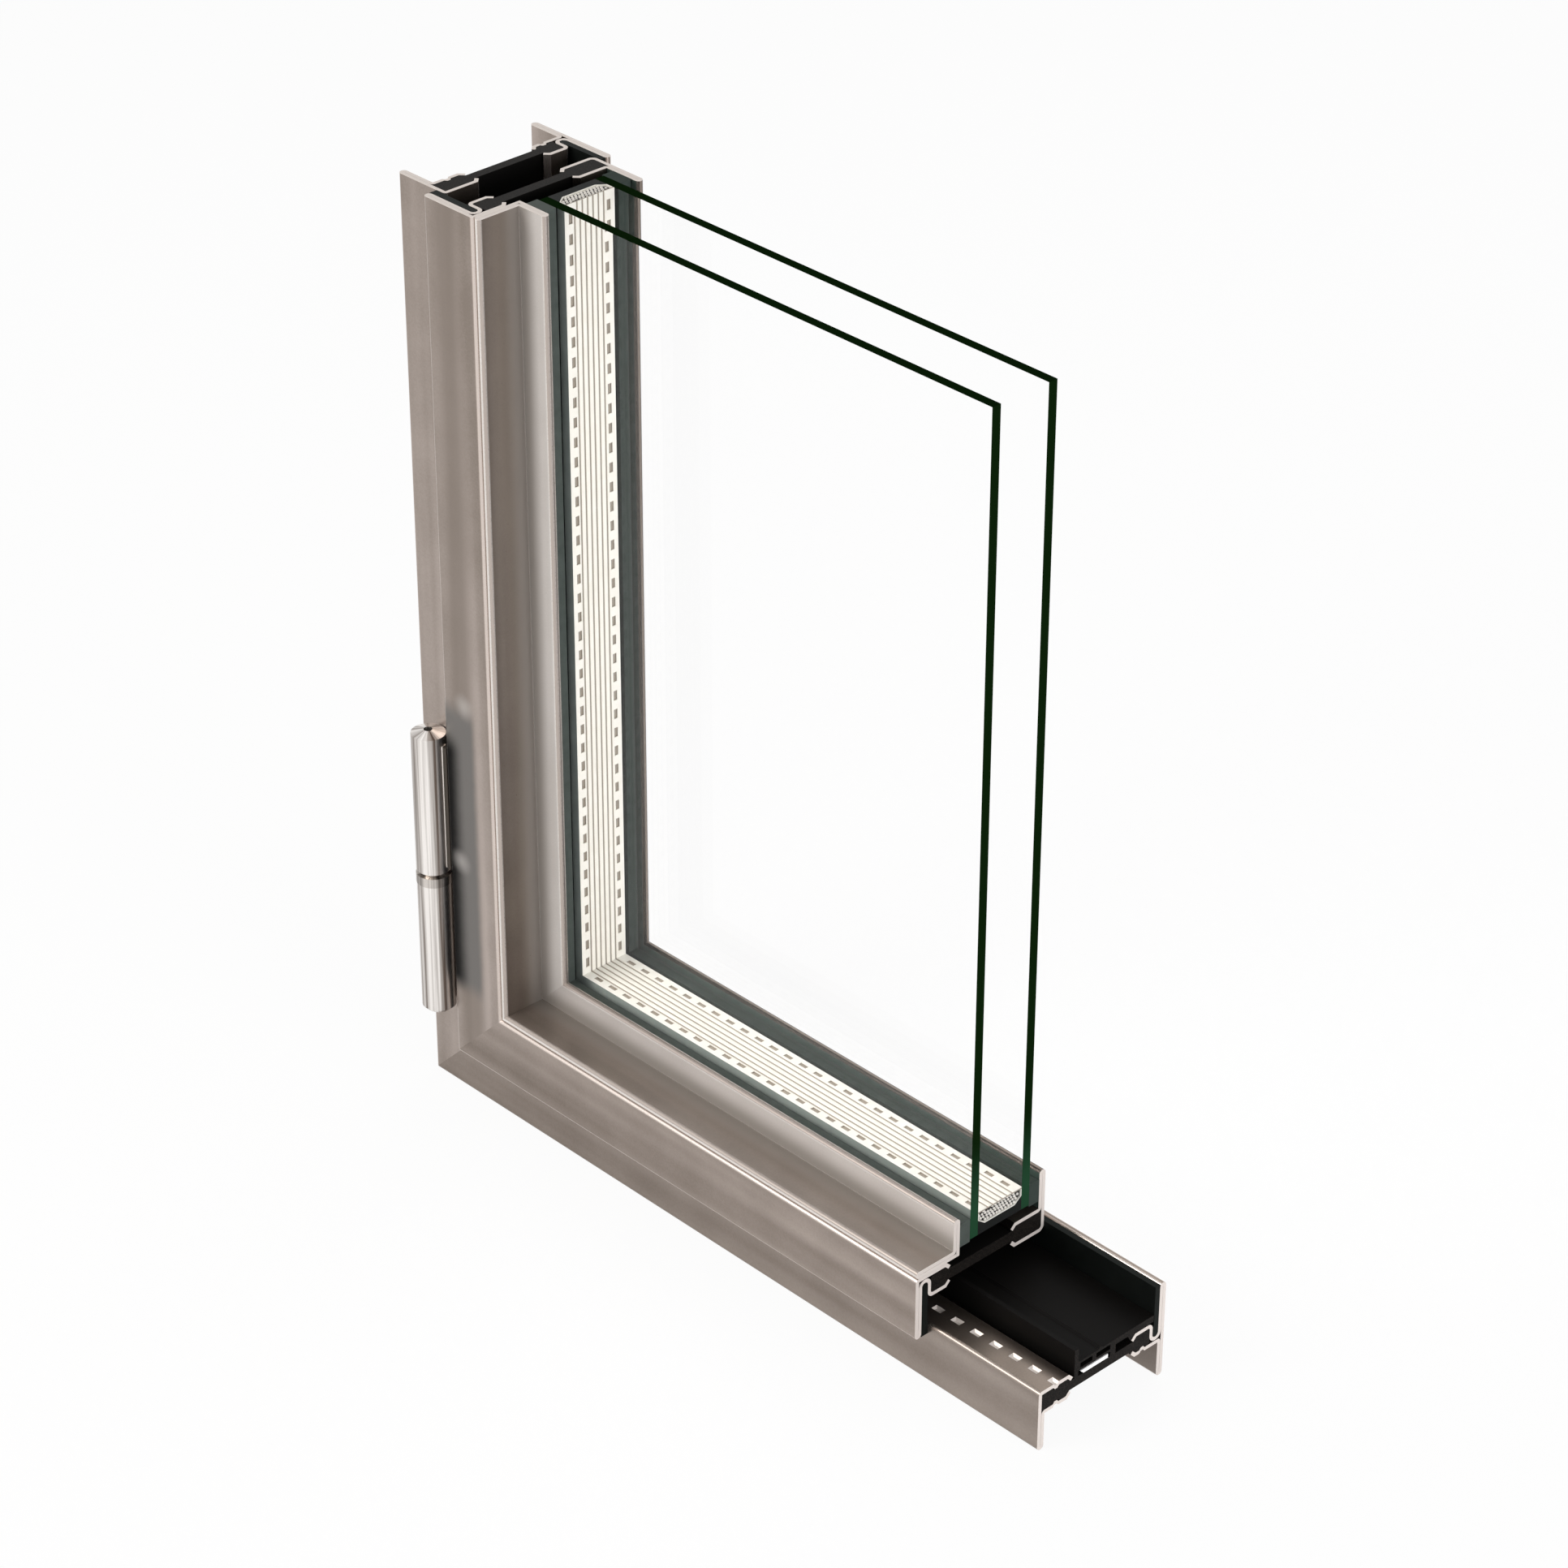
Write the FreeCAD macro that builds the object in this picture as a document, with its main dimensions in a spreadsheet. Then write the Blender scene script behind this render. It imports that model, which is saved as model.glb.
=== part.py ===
"""Cut corner of a steel casement window with a thermal break, hinged at the left.

A fixed frame and an inward opening sash meet in one mitred corner. Both are made of
two folded steel shells, front and back, held apart by a bar of black polyamide. The
jamb stands up from the corner and the sill runs to the right. The same section is
seen at both cut ends, so every profile is drawn once, as depth and rise:

  depth runs from the front face of the frame towards the back,
  rise runs from the outer tips of the frame flanges in towards the glass.
"""
import math
import os
import re

import FreeCAD, Part
import Sketcher

# Driving sizes in millimetres: name, value, what it is
SIZES = (
    ("frame_height", 385.4, "cut height of the jambs and of the glass"),
    ("frame_length", 330.2, "cut length of the frame sill"),
    ("sash_length", 274.9, "cut length of the sash sill and of the glass"),
    ("frame_depth", 65.0, "front face to back face of the frame"),
    ("steel", 1.5, "thickness of the folded steel"),
    ("hem_gap", 0.1, "gap between the two layers of a hem"),
    ("bend", 0.2, "inner radius of a tight fold"),
    ("soft_bend", 1.0, "inner radius of a round fold"),
    ("groove", 3.0, "width of a gasket groove"),
    ("lip", 2.0, "sideways run of the slanted lips that hold a bar"),
    ("frame_outer_leg", 15.6, "rise of the frame leg that faces the wall"),
    ("frame_inner_leg", 26.0, "rise of the frame leg that faces the sash"),
    ("frame_rim", 41.7, "rise of the frame's back flange"),
    ("frame_groove_root", 19.0, "rise of the bottom of the frame's gasket groove"),
    ("frame_front_inner", 15.3, "depth where the frame's front inner leg ends"),
    ("frame_front_outer", 14.5, "depth where the frame's front outer leg ends"),
    ("frame_back_legs", 49.6, "depth where the frame's back legs start"),
    ("frame_web_low", 18.9, "rise of the outer face of the frame's bar"),
    ("frame_web_high", 22.9, "rise of the inner face of the frame's bar"),
    ("dimple_length", 4.5, "length of a stitch dimple along the profile"),
    ("dimple_width", 2.8, "width of a stitch dimple"),
    ("dimple_depth", 0.95, "how deep a stitch dimple is pressed"),
    ("dimple_slope", 0.8, "run of the slanted sides of a dimple"),
    ("dimple_front", 8.75, "depth of the middle of the dimples in the front legs"),
    ("dimple_back", 53.6, "depth of the middle of the dimples in the back legs"),
    ("dimple_start", 41.2, "distance of the first dimple from the outer corner"),
    ("dimple_cut", 1.0, "distance of the last dimple from the cut, which saws it through"),
    ("sash_step", 6.4, "how far the sash stands in front of the frame"),
    ("sash_back", 59.4, "depth of the back face of the sash"),
    ("sash_lap", 21.5, "rise of the edge of the sash's front flange"),
    ("sash_outer_leg", 37.5, "rise of the sash leg that faces the frame"),
    ("sash_inner_leg", 48.3, "rise of the sash leg that carries the glass"),
    ("sash_rim", 65.0, "rise of the sash's back flange"),
    ("sash_groove_root", 45.1, "rise of the bottom of the sash's gasket groove"),
    ("sash_front_legs", 9.0, "depth where the sash's front legs end"),
    ("sash_back_legs", 43.9, "depth where the sash's back legs start"),
    ("sash_web_low", 40.6, "rise of the outer face of the sash's bar"),
    ("sash_web_high", 45.2, "rise of the inner face of the sash's bar"),
    ("fit", 0.05, "clearance between pieces that seat on each other"),
    ("bead_recess", 0.2, "how far the bead lies behind the face of the sash"),
    ("bead_back", 15.4, "depth of the back face of the glazing bead"),
    ("bead_rim", 64.8, "rise of the glazing bead"),
    ("front_seal", 5.2, "thickness of the front glazing gasket"),
    ("pane", 4.0, "thickness of one pane of glass"),
    ("cavity", 22.4, "space between the two panes"),
    ("glass_edge", 52.7, "rise of the edge of the glass"),
    ("seal_foot", 51.8, "rise of the lower edge of the glazing gaskets"),
    ("seal_rim", 61.8, "rise of the upper edge of the glazing gaskets"),
    ("seal_bevel", 0.7, "bevel on the upper edge of the glazing gaskets"),
    ("spacer_foot", 56.4, "rise of the back of the spacer"),
    ("spacer_shoulder", 59.0, "rise where the sides of the spacer start"),
    ("spacer_face", 62.9, "rise of the face of the spacer between the panes"),
    ("spacer_slant", 3.5, "depth that each slanted side of the spacer takes"),
    ("spacer_wall", 0.8, "wall of the spacer"),
    ("groove_seal_rim", 41.4, "rise of the frame gasket"),
    ("groove_seal_chamfer", 0.85, "width of the chamfers at the foot of a groove gasket"),
    ("groove_seal_taper", 1.2, "height of the chamfers at the foot of a groove gasket"),
    ("lap_seal_lip", 27.0, "rise where the lip of the sash gasket ends"),
    ("tray_wall", 2.0, "thickness of the wall of the sill tray"),
    ("tray_front", 18.0, "depth of the front of the sill tray"),
    ("tray_back", 59.2, "depth of the back edge of the sill tray"),
    ("tray_rim", 35.0, "rise of the front wall of the sill tray"),
    ("tray_floor", 29.2, "rise of the floor of the sill tray"),
    ("tray_ridge", 1.0, "height of the ridge on the floor of the sill tray"),
    ("tray_skin", 1.0, "thin walls round the cells of the sill tray"),
    ("tray_cells", 25.1, "rise of the underside of the tray's cells"),
    ("tray_cells_end", 36.5, "depth where the cells of the tray end"),
    ("tray_foot", 39.3, "depth of the back of the tray's second foot"),
    ("tray_gap", 0.4, "gap between the sill tray and the steel round it"),
    ("strip_front", 21.2, "depth of the front edge of the white strip"),
    ("strip_width", 14.2, "width of the white strip"),
    ("strip_height", 1.6, "thickness of the white strip"),
    ("hinge_radius", 6.75, "radius of the hinge barrels"),
    ("hinge_side", 12.4, "distance of the hinge's axis from the edge of the frame"),
    ("hinge_gap", 0.25, "gap between a barrel and the face of the frame"),
    ("hinge_foot", 38.6, "height of the lower end of the hinge"),
    ("lower_barrel", 58.2, "length of the lower barrel"),
    ("ring_height", 4.0, "height of the bearing ring between the barrels"),
    ("ring_extra", 0.2, "how far the ring stands out from the barrels"),
    ("upper_barrel", 61.6, "length of the upper barrel"),
    ("barrel_chamfer", 1.7, "chamfer at the outer end of a barrel"),
    ("barrel_crown", 1.4, "rise of the cone on top of the hinge"),
    ("pin_radius", 3.6, "radius of the hinge pin"),
    ("pin_depth", 40.0, "how far the pin reaches into each barrel"),
    ("pin_play", 0.1, "play between the pin and the barrels"),
    ("grease_hole", 1.7, "radius of the hole in the top of the hinge"),
    ("leaf", 2.4, "thickness of the leaf between barrel and sash"),
    ("leaf_end", 4.0, "distance of a leaf from the end of its barrel"),
    ("pad_width", 5.0, "width of the weld pad behind the lower barrel"),
)

# Sizes that follow from the driving ones, as formulas
DERIVED = {
    "hem": "(2 * steel + hem_gap)",
    "hem_radius": "(steel + hem_gap / 2)",
    "bend_outer": "(bend + steel)",
    "soft_outer": "(soft_bend + steel)",
    "fold_shift": f"({math.tan(math.radians(22.5)):.6f} * steel)",
    "frame_seat": "(frame_depth - hem)",
    "frame_riser": "(frame_seat - groove)",
    "frame_bar_low": "(frame_outer_leg + steel + fit)",
    "frame_bar_high": "(frame_inner_leg - steel - fit)",
    "lap_seat": "(hem - sash_step)",
    "sash_riser": "(lap_seat + groove)",
    "sash_bar_low": "(sash_outer_leg + steel + fit)",
    "sash_bar_high": "(sash_inner_leg - steel - fit)",
    "bead_front": "(bead_recess - sash_step)",
    "bead_seat": "(sash_inner_leg + fit)",
    "front_pane": "(bead_back + front_seal)",
    "gas_front": "(front_pane + pane)",
    "gas_back": "(gas_front + cavity)",
    "glass_back": "(gas_back + pane)",
    "sash_flange": "(sash_back - hem)",
    "tray_web": "(frame_web_high + fit)",
    "hinge_out": "(hinge_radius + hinge_gap)",
    "hinge_ring": "(hinge_foot + lower_barrel)",
    "hinge_upper": "(hinge_ring + ring_height)",
    "hinge_top": "(hinge_upper + upper_barrel)",
    "middle_x": "(frame_length / 2)",
    "middle_y": "((frame_depth - hinge_out - hinge_radius - ring_extra) / 2)",
}

LEFT, RIGHT = 1, -1
JAMB, SILL = "jamb", "sill"
RUN_OUT = {JAMB: FreeCAD.Vector(0, 0, -1), SILL: FreeCAD.Vector(1, 0, 0)}
STEEL_SIDE = {JAMB: 1, SILL: -1}
INWARD, OUTWARD = 1, -1
DIMPLES = {JAMB: 37, SILL: 31}
TOOL_MARGIN = 20


def cells(formula):
    """Points the size names in a formula at the cells of the sheet."""
    def swap(match):
        word = match.group()
        return cells(DERIVED[word]) if word in DERIVED else "Sizes." + word
    return re.sub(r"[a-z][a-z_]+", swap, formula)


def worth(formula):
    """Gives the present value of a formula."""
    return float(sheet.evalExpression(cells(formula)))


def bind(thing, path, formula):
    """Binds one property of an object to a formula of sizes."""
    thing.setExpression(path, cells(formula))


def fixed(sketch, edge, end, depth, rise):
    """Fixes one end of an edge at a point given by two formulas."""
    for kind, formula in (("DistanceX", depth), ("DistanceY", rise)):
        rule = sketch.addConstraint(Sketcher.Constraint(kind, -1, 1, edge, end, worth(formula)))
        bind(sketch, f"Constraints[{rule}]", formula)


def outline(sketch, start, steps, closed=False):
    """Draws straight runs and quarter turns in a sketch, each end bound to the sheet.

    A step is (depth, rise) for a straight run, or (depth, rise, radius, side) for a
    quarter turn to the LEFT or to the RIGHT.
    """
    here = FreeCAD.Vector(worth(start[0]), worth(start[1]))
    first = before = None
    for step in steps:
        there = FreeCAD.Vector(worth(step[0]), worth(step[1]))
        head, tail = 1, 2
        if len(step) == 2:
            edge = sketch.addGeometry(Part.LineSegment(here, there))
        else:
            radius, side = worth(step[2]), step[3]
            half = (there - here) * 0.5
            reach = math.sqrt(max(radius ** 2 - half.Length ** 2, 0))
            centre = here + half + FreeCAD.Vector(-half.y, half.x).normalize() * reach * side
            angles = [math.atan2(end.y - centre.y, end.x - centre.x) for end in (here, there)]
            if side == RIGHT:
                angles.reverse()
                head, tail = 2, 1
            circle = Part.Circle(centre, FreeCAD.Vector(0, 0, 1), radius)
            edge = sketch.addGeometry(Part.ArcOfCircle(circle, *angles))
            rule = sketch.addConstraint(Sketcher.Constraint("Radius", edge, radius))
            bind(sketch, f"Constraints[{rule}]", step[2])
        if before is None:
            first = (edge, head)
            fixed(sketch, edge, head, *start)
        else:
            sketch.addConstraint(Sketcher.Constraint("Coincident", *before, edge, head))
        fixed(sketch, edge, tail, step[0], step[1])
        before = (edge, tail)
        here = there
    if closed:
        edge = sketch.addGeometry(Part.LineSegment(here, FreeCAD.Vector(worth(start[0]), worth(start[1]))))
        sketch.addConstraint(Sketcher.Constraint("Coincident", *before, edge, 1))
        sketch.addConstraint(Sketcher.Constraint("Coincident", edge, 2, *first))


def placed(kind, name, turn, places):
    """Adds an object that is turned one way and lies at a place given by three formulas."""
    thing = doc.addObject(kind, name)
    thing.Placement = FreeCAD.Placement(FreeCAD.Vector(*[worth(place) for place in places]), turn)
    for axis, place in zip("xyz", places):
        bind(thing, f"Placement.Base.{axis}", place)
    return thing


def section_sketch(name, run, offset="0"):
    """Makes an empty sketch that lies across the jamb or across the sill."""
    if run == JAMB:
        turn = FreeCAD.Rotation(FreeCAD.Vector(0, 1, 0), FreeCAD.Vector(1, 0, 0), FreeCAD.Vector(0, 0, -1))
        places = ("-1 * middle_x", "-1 * middle_y", "frame_height")
    else:
        turn = FreeCAD.Rotation(FreeCAD.Vector(0, 1, 0), FreeCAD.Vector(0, 0, 1), FreeCAD.Vector(1, 0, 0))
        places = (f"{offset} - middle_x", "-1 * middle_y", "0")
    return placed("Sketcher::SketchObject", name, turn, places)


def run_out(name, face, length, way):
    """Extrudes a flat outline over a length, one way."""
    bar = doc.addObject("Part::Extrusion", name + "_bar")
    bar.Base = face
    bar.DirMode = "Custom"
    bar.Dir = way
    bar.Solid = True
    bar.LengthFwd = worth(length)
    bind(bar, "LengthFwd", length)
    return bar


def mitre_tool(run):
    """Makes the three-sided block that takes one side of the corner's mitre away."""
    turn = FreeCAD.Rotation(FreeCAD.Vector(1, 0, 0), FreeCAD.Vector(0, 0, 1), FreeCAD.Vector(0, -1, 0))
    places = ("-1 * middle_x", f"frame_depth + {TOOL_MARGIN} - middle_y", "0")
    sketch = placed("Sketcher::SketchObject", f"mitre_{run}_outline", turn, places)
    low = f"-{TOOL_MARGIN}"
    high = f"sash_rim + {TOOL_MARGIN}"
    far = (high, low) if run == JAMB else (low, high)
    outline(sketch, (low, low), ((high, high), far), closed=True)
    reach = f"frame_depth + sash_step + {2 * TOOL_MARGIN}"
    return run_out(f"mitre_{run}", sketch, reach, FreeCAD.Vector(0, -1, 0))


def saw_tool(run):
    """Makes the block that takes away what a sawn dimple leaves beyond the cut end of the frame."""
    before = f"-{TOOL_MARGIN}"
    across = f"frame_rim + {2 * TOOL_MARGIN}"
    if run == JAMB:
        places = (f"{before} - middle_x", f"{before} - middle_y", "frame_height")
        length, height = across, str(TOOL_MARGIN)
    else:
        places = ("frame_length - middle_x", f"{before} - middle_y", before)
        length, height = str(TOOL_MARGIN), across
    block = placed("Part::Box", f"saw_{run}", FreeCAD.Rotation(), places)
    bind(block, "Length", length)
    bind(block, "Width", f"frame_depth + {2 * TOOL_MARGIN}")
    bind(block, "Height", height)
    return block


def joined(name, things):
    """Gathers things into one compound."""
    group = doc.addObject("Part::Compound", name)
    group.Links = things
    return group


def dimple_stamp():
    """Makes the block with four slanted sides that presses one dimple, from the origin along y."""
    block = doc.addObject("Part::Wedge", "dimple_stamp")
    for axis, size in (("X", "dimple_length"), ("Z", "dimple_width")):
        for end, sign in (("min", "-1"), ("max", "1")):
            bind(block, f"{axis}{end}", f"{sign} * {size} / 2")
            bind(block, f"{axis}2{end}", f"{sign} * ({size} / 2 - dimple_slope)")
    bind(block, "Ymin", "0")
    bind(block, "Ymax", "dimple_depth")
    return block


def dimpled(name, bar, run, middle, rise, way):
    """Presses a row of stitch dimples into one leg: pockets on its outside, bosses on its inside.

    The bosses stand in a groove of the bar behind the leg. The last dimple is sawn through.
    """
    length = "frame_height" if run == JAMB else "frame_length"
    along_run, up_rise = FreeCAD.Vector(0, 0, 1), FreeCAD.Vector(1, 0, 0)
    if run == SILL:
        along_run, up_rise = up_rise, along_run
    turn = FreeCAD.Rotation(along_run, up_rise * way, along_run.cross(up_rise * way))
    last = f"{length} - dimple_cut"
    marks = []
    for number in range(DIMPLES[run]):
        along = f"{last} - {number} * ({last} - dimple_start) / {DIMPLES[run] - 1}"
        if run == JAMB:
            places = (f"{rise} - middle_x", f"{middle} - middle_y", along)
        else:
            places = (f"{along} - middle_x", f"{middle} - middle_y", rise)
        mark = placed("App::Link", f"{name}_{number}", turn, places)
        mark.LinkedObject = stamp
        marks.append(mark)
    pockets = joined(f"{name}_pockets", marks)
    shift = f"{way} * steel"
    places = (shift, "0", "0") if run == JAMB else ("0", "0", shift)
    bosses = placed("App::Link", f"{name}_bosses", FreeCAD.Rotation(), places)
    bosses.LinkedObject = pockets
    bossed = doc.addObject("Part::Fuse", f"{name}_bossed")
    bossed.Base = bar
    bossed.Tool = bosses
    piece = doc.addObject("Part::Cut", f"{name}_pressed")
    piece.Base = bossed
    piece.Tool = pockets
    return piece


def keep(name, piece):
    """Keeps a finished piece under its own name."""
    piece.Label = name
    pieces.append(piece)


def keep_run(name, face, run, sill_length, rows=()):
    """Extrudes a section over the jamb or the sill, cuts the mitre and keeps the piece.

    Rows are the rows of stitch dimples that are pressed into it before it is cut.
    """
    length = "frame_height" if run == JAMB else sill_length
    bar = run_out(name, face, length, RUN_OUT[run])
    for number, row in enumerate(rows):
        bar = dimpled(f"{name}_row_{number}", bar, run, *row)
    piece = doc.addObject("Part::Cut", name + "_piece")
    piece.Base = bar
    piece.Tool = sawn_ends[run] if rows else mitres[run]
    keep(name, piece)


def folded(name, start, steps, run, sill_length, rows=()):
    """Makes one folded steel piece from the line of its face, with the steel at the left."""
    sketch = section_sketch(f"{name}_{run}_fold", run)
    outline(sketch, start, steps)
    face = doc.addObject("Part::Offset2D", f"{name}_{run}_section")
    face.Source = sketch
    face.Mode = "Skin"
    face.Join = "Intersection"
    face.Fill = True
    face.Value = STEEL_SIDE[run] * worth("steel")
    bind(face, "Value", f"{STEEL_SIDE[run]} * steel")
    keep_run(f"{name}_{run}", face, run, sill_length, rows)


def solid_bar(name, points, run, sill_length):
    """Makes one solid strip from the corners of its section."""
    sketch = section_sketch(f"{name}_{run}_outline", run)
    outline(sketch, points[0], points[1:], closed=True)
    keep_run(f"{name}_{run}", sketch, run, sill_length)


def start_sheet():
    """Fills the sheet with the driving sizes."""
    for row, (name, size, note) in enumerate(SIZES, start=1):
        sheet.set(f"A{row}", name)
        sheet.set(f"B{row}", str(size))
        sheet.set(f"C{row}", note)
        sheet.setAlias(f"B{row}", name)
    doc.recompute()


# The face line of each folded piece, walked with the steel at the left hand
FRAME_FRONT_SHELL = (
    ("frame_front_inner + lip", "frame_inner_leg - lip"),
    (
        ("frame_front_inner", "frame_inner_leg"),
        ("bend_outer", "frame_inner_leg"),
        ("0", "frame_inner_leg - bend_outer", "bend_outer", LEFT),
        ("0", "hem_radius"),
        ("hem_radius", "0", "hem_radius", LEFT),
        ("hem", "hem_radius", "hem_radius", LEFT),
        ("hem", "frame_outer_leg - bend"),
        ("hem + bend", "frame_outer_leg", "bend", RIGHT),
        ("frame_front_outer", "frame_outer_leg"),
        ("frame_front_outer + lip", "frame_outer_leg + lip"),
    ),
)
FRAME_BACK_SHELL = (
    ("frame_back_legs - lip", "frame_outer_leg + lip"),
    (
        ("frame_back_legs", "frame_outer_leg"),
        ("frame_seat - bend", "frame_outer_leg"),
        ("frame_seat", "frame_outer_leg - bend", "bend", RIGHT),
        ("frame_seat", "hem_radius"),
        ("frame_depth - hem_radius", "0", "hem_radius", LEFT),
        ("frame_depth", "hem_radius", "hem_radius", LEFT),
        ("frame_depth", "frame_rim - hem_radius"),
        ("frame_depth - hem_radius", "frame_rim", "hem_radius", LEFT),
        ("frame_seat", "frame_rim - hem_radius", "hem_radius", LEFT),
        ("frame_seat", "frame_groove_root + groove / 2"),
        ("frame_seat - groove / 2", "frame_groove_root", "groove / 2", RIGHT),
        ("frame_riser", "frame_groove_root + groove / 2", "groove / 2", RIGHT),
        ("frame_riser", "frame_inner_leg - soft_outer"),
        ("frame_riser - soft_outer", "frame_inner_leg", "soft_outer", LEFT),
        ("frame_back_legs", "frame_inner_leg"),
        ("frame_back_legs - lip", "frame_inner_leg - lip"),
    ),
)
SASH_FRONT_SHELL = (
    ("sash_front_legs + lip", "sash_inner_leg - lip"),
    (
        ("sash_front_legs", "sash_inner_leg"),
        ("bend_outer - sash_step", "sash_inner_leg"),
        ("-1 * sash_step", "sash_inner_leg - bend_outer", "bend_outer", LEFT),
        ("-1 * sash_step", "sash_lap + hem_radius"),
        ("hem_radius - sash_step", "sash_lap", "hem_radius", LEFT),
        ("lap_seat", "sash_lap + hem_radius", "hem_radius", LEFT),
        ("lap_seat", "sash_groove_root - groove / 2"),
        ("lap_seat + groove / 2", "sash_groove_root", "groove / 2", RIGHT),
        ("sash_riser", "sash_groove_root - groove / 2", "groove / 2", RIGHT),
        ("sash_riser", "sash_outer_leg + soft_outer"),
        ("sash_riser + soft_outer", "sash_outer_leg", "soft_outer", LEFT),
        ("sash_front_legs", "sash_outer_leg"),
        ("sash_front_legs + lip", "sash_outer_leg + lip"),
    ),
)
SASH_BACK_SHELL = (
    ("sash_back_legs - lip", "sash_outer_leg + lip"),
    (
        ("sash_back_legs", "sash_outer_leg"),
        ("sash_back - soft_outer", "sash_outer_leg"),
        ("sash_back", "sash_outer_leg + soft_outer", "soft_outer", LEFT),
        ("sash_back", "sash_rim - hem_radius"),
        ("sash_back - hem_radius", "sash_rim", "hem_radius", LEFT),
        ("sash_flange", "sash_rim - hem_radius", "hem_radius", LEFT),
        ("sash_flange", "sash_inner_leg + bend"),
        ("sash_flange - bend", "sash_inner_leg", "bend", RIGHT),
        ("sash_back_legs", "sash_inner_leg"),
        ("sash_back_legs - lip", "sash_inner_leg - lip"),
    ),
)
GLAZING_BEAD = (
    ("bead_back", "bead_seat"),
    (
        ("bead_back", "bead_rim - hem_radius"),
        ("bead_back - hem_radius", "bead_rim", "hem_radius", LEFT),
        ("bead_back - hem", "bead_rim - hem_radius", "hem_radius", LEFT),
        ("bead_back - hem", "bead_seat + hem + bend"),
        ("bead_back - hem - bend", "bead_seat + hem", "bend", RIGHT),
        ("bead_front + hem_radius", "bead_seat + hem"),
        ("bead_front", "bead_seat + hem_radius", "hem_radius", LEFT),
        ("bead_front + hem_radius", "bead_seat", "hem_radius", LEFT),
        ("bead_back - steel - hem_gap", "bead_seat"),
    ),
)

# The rows of stitch dimples: depth of their middle, rise of the leg's outside, way they are pressed
FRONT_OUTER_ROW = ("dimple_front", "frame_outer_leg", INWARD)
FRONT_INNER_ROW = ("dimple_front", "frame_inner_leg", OUTWARD)
BACK_OUTER_ROW = ("dimple_back", "frame_outer_leg", INWARD)
FRONT_ROWS = {JAMB: (FRONT_OUTER_ROW,), SILL: (FRONT_OUTER_ROW, FRONT_INNER_ROW)}


def stitch_groove(row, face):
    """Gives the groove in a bar, from front to back, that clears the bosses of a row of dimples."""
    middle, _, way = row
    near = f"{middle} - dimple_width / 2 - fit"
    far = f"{middle} + dimple_width / 2 + fit"
    floor = f"{face} + {way} * dimple_depth"
    return (near, face), (near, floor), (far, floor), (far, face)


def bar_points(
    low, high, web_low, web_high, front, back, front_ends, back_starts, front_cut, back_cut, rows=(),
):
    """Gives the section of a thermal bar: a web with a block at each end.

    The blocks fill the folded legs, and their inner corners follow the slanted lips. A groove
    runs under each row of stitch dimples.
    """
    front_low, front_high = [f"{end} - fold_shift - fit" for end in front_ends]
    back_low, back_high = [f"{start} + fold_shift + fit" for start in back_starts]
    front_groove = stitch_groove(FRONT_OUTER_ROW, low) if FRONT_OUTER_ROW in rows else ()
    back_groove = stitch_groove(BACK_OUTER_ROW, low) if BACK_OUTER_ROW in rows else ()
    top_groove = stitch_groove(FRONT_INNER_ROW, high) if FRONT_INNER_ROW in rows else ()
    return (
        (f"{front} + {front_cut[0]}", low),
        *front_groove,
        (front_low, low),
        (f"{front_low} + {web_low} - {low}", web_low),
        (f"{back_low} - {web_low} + {low}", web_low),
        (back_low, low),
        *back_groove,
        (f"{back} - {back_cut[0]}", low),
        (back, f"{low} + {back_cut[0]}"),
        (back, f"{high} - {back_cut[1]}"),
        (f"{back} - {back_cut[1]}", high),
        (back_high, high),
        (f"{back_high} - {high} + {web_high}", web_high),
        (f"{front_high} + {high} - {web_high}", web_high),
        (front_high, high),
        *reversed(top_groove),
        (f"{front} + {front_cut[1]}", high),
        (front, f"{high} - {front_cut[1]}"),
        (front, f"{low} + {front_cut[0]}"),
    )


FRAME_BAR = {
    run: bar_points(
        "frame_bar_low", "frame_bar_high", "frame_web_low", "frame_web_high",
        "(steel + fit)", "(frame_riser - steel - fit)",
        ("frame_front_outer", "frame_front_inner"), ("frame_back_legs", "frame_back_legs"),
        ("bend", "bend"), ("bend", "soft_bend"), (*rows, BACK_OUTER_ROW),
    )
    for run, rows in FRONT_ROWS.items()
}
SASH_BAR = bar_points(
    "sash_bar_low", "sash_bar_high", "sash_web_low", "sash_web_high",
    "(sash_riser + steel + fit)", "(sash_back - steel - fit)",
    ("sash_front_legs", "sash_front_legs"), ("sash_back_legs", "sash_back_legs"),
    ("soft_bend", "bend"), ("soft_bend", "bend"),
)
FRAME_GASKET = (
    ("frame_riser + fit + groove_seal_chamfer", "frame_groove_root + groove / 2 - groove_seal_taper"),
    ("frame_seat - fit - groove_seal_chamfer", "frame_groove_root + groove / 2 - groove_seal_taper"),
    ("frame_seat - fit", "frame_groove_root + groove / 2"),
    ("frame_seat - fit", "groove_seal_rim"),
    ("sash_back + fit", "groove_seal_rim"),
    ("sash_back + fit", "frame_inner_leg - steel"),
    ("frame_riser + fit", "frame_inner_leg - soft_outer"),
    ("frame_riser + fit", "frame_groove_root + groove / 2"),
)
SASH_GASKET = (
    ("lap_seat + fit", "sash_lap + fit"),
    ("-1 * fit", "sash_lap + fit"),
    ("-1 * fit", "lap_seal_lip"),
    ("sash_riser - fit", "lap_seal_lip + steel"),
    ("sash_riser - fit", "sash_groove_root - groove / 2"),
    ("sash_riser - fit - groove_seal_chamfer", "sash_groove_root - groove / 2 + groove_seal_taper"),
    ("lap_seat + fit + groove_seal_chamfer", "sash_groove_root - groove / 2 + groove_seal_taper"),
    ("lap_seat + fit", "sash_groove_root - groove / 2"),
)
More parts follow.
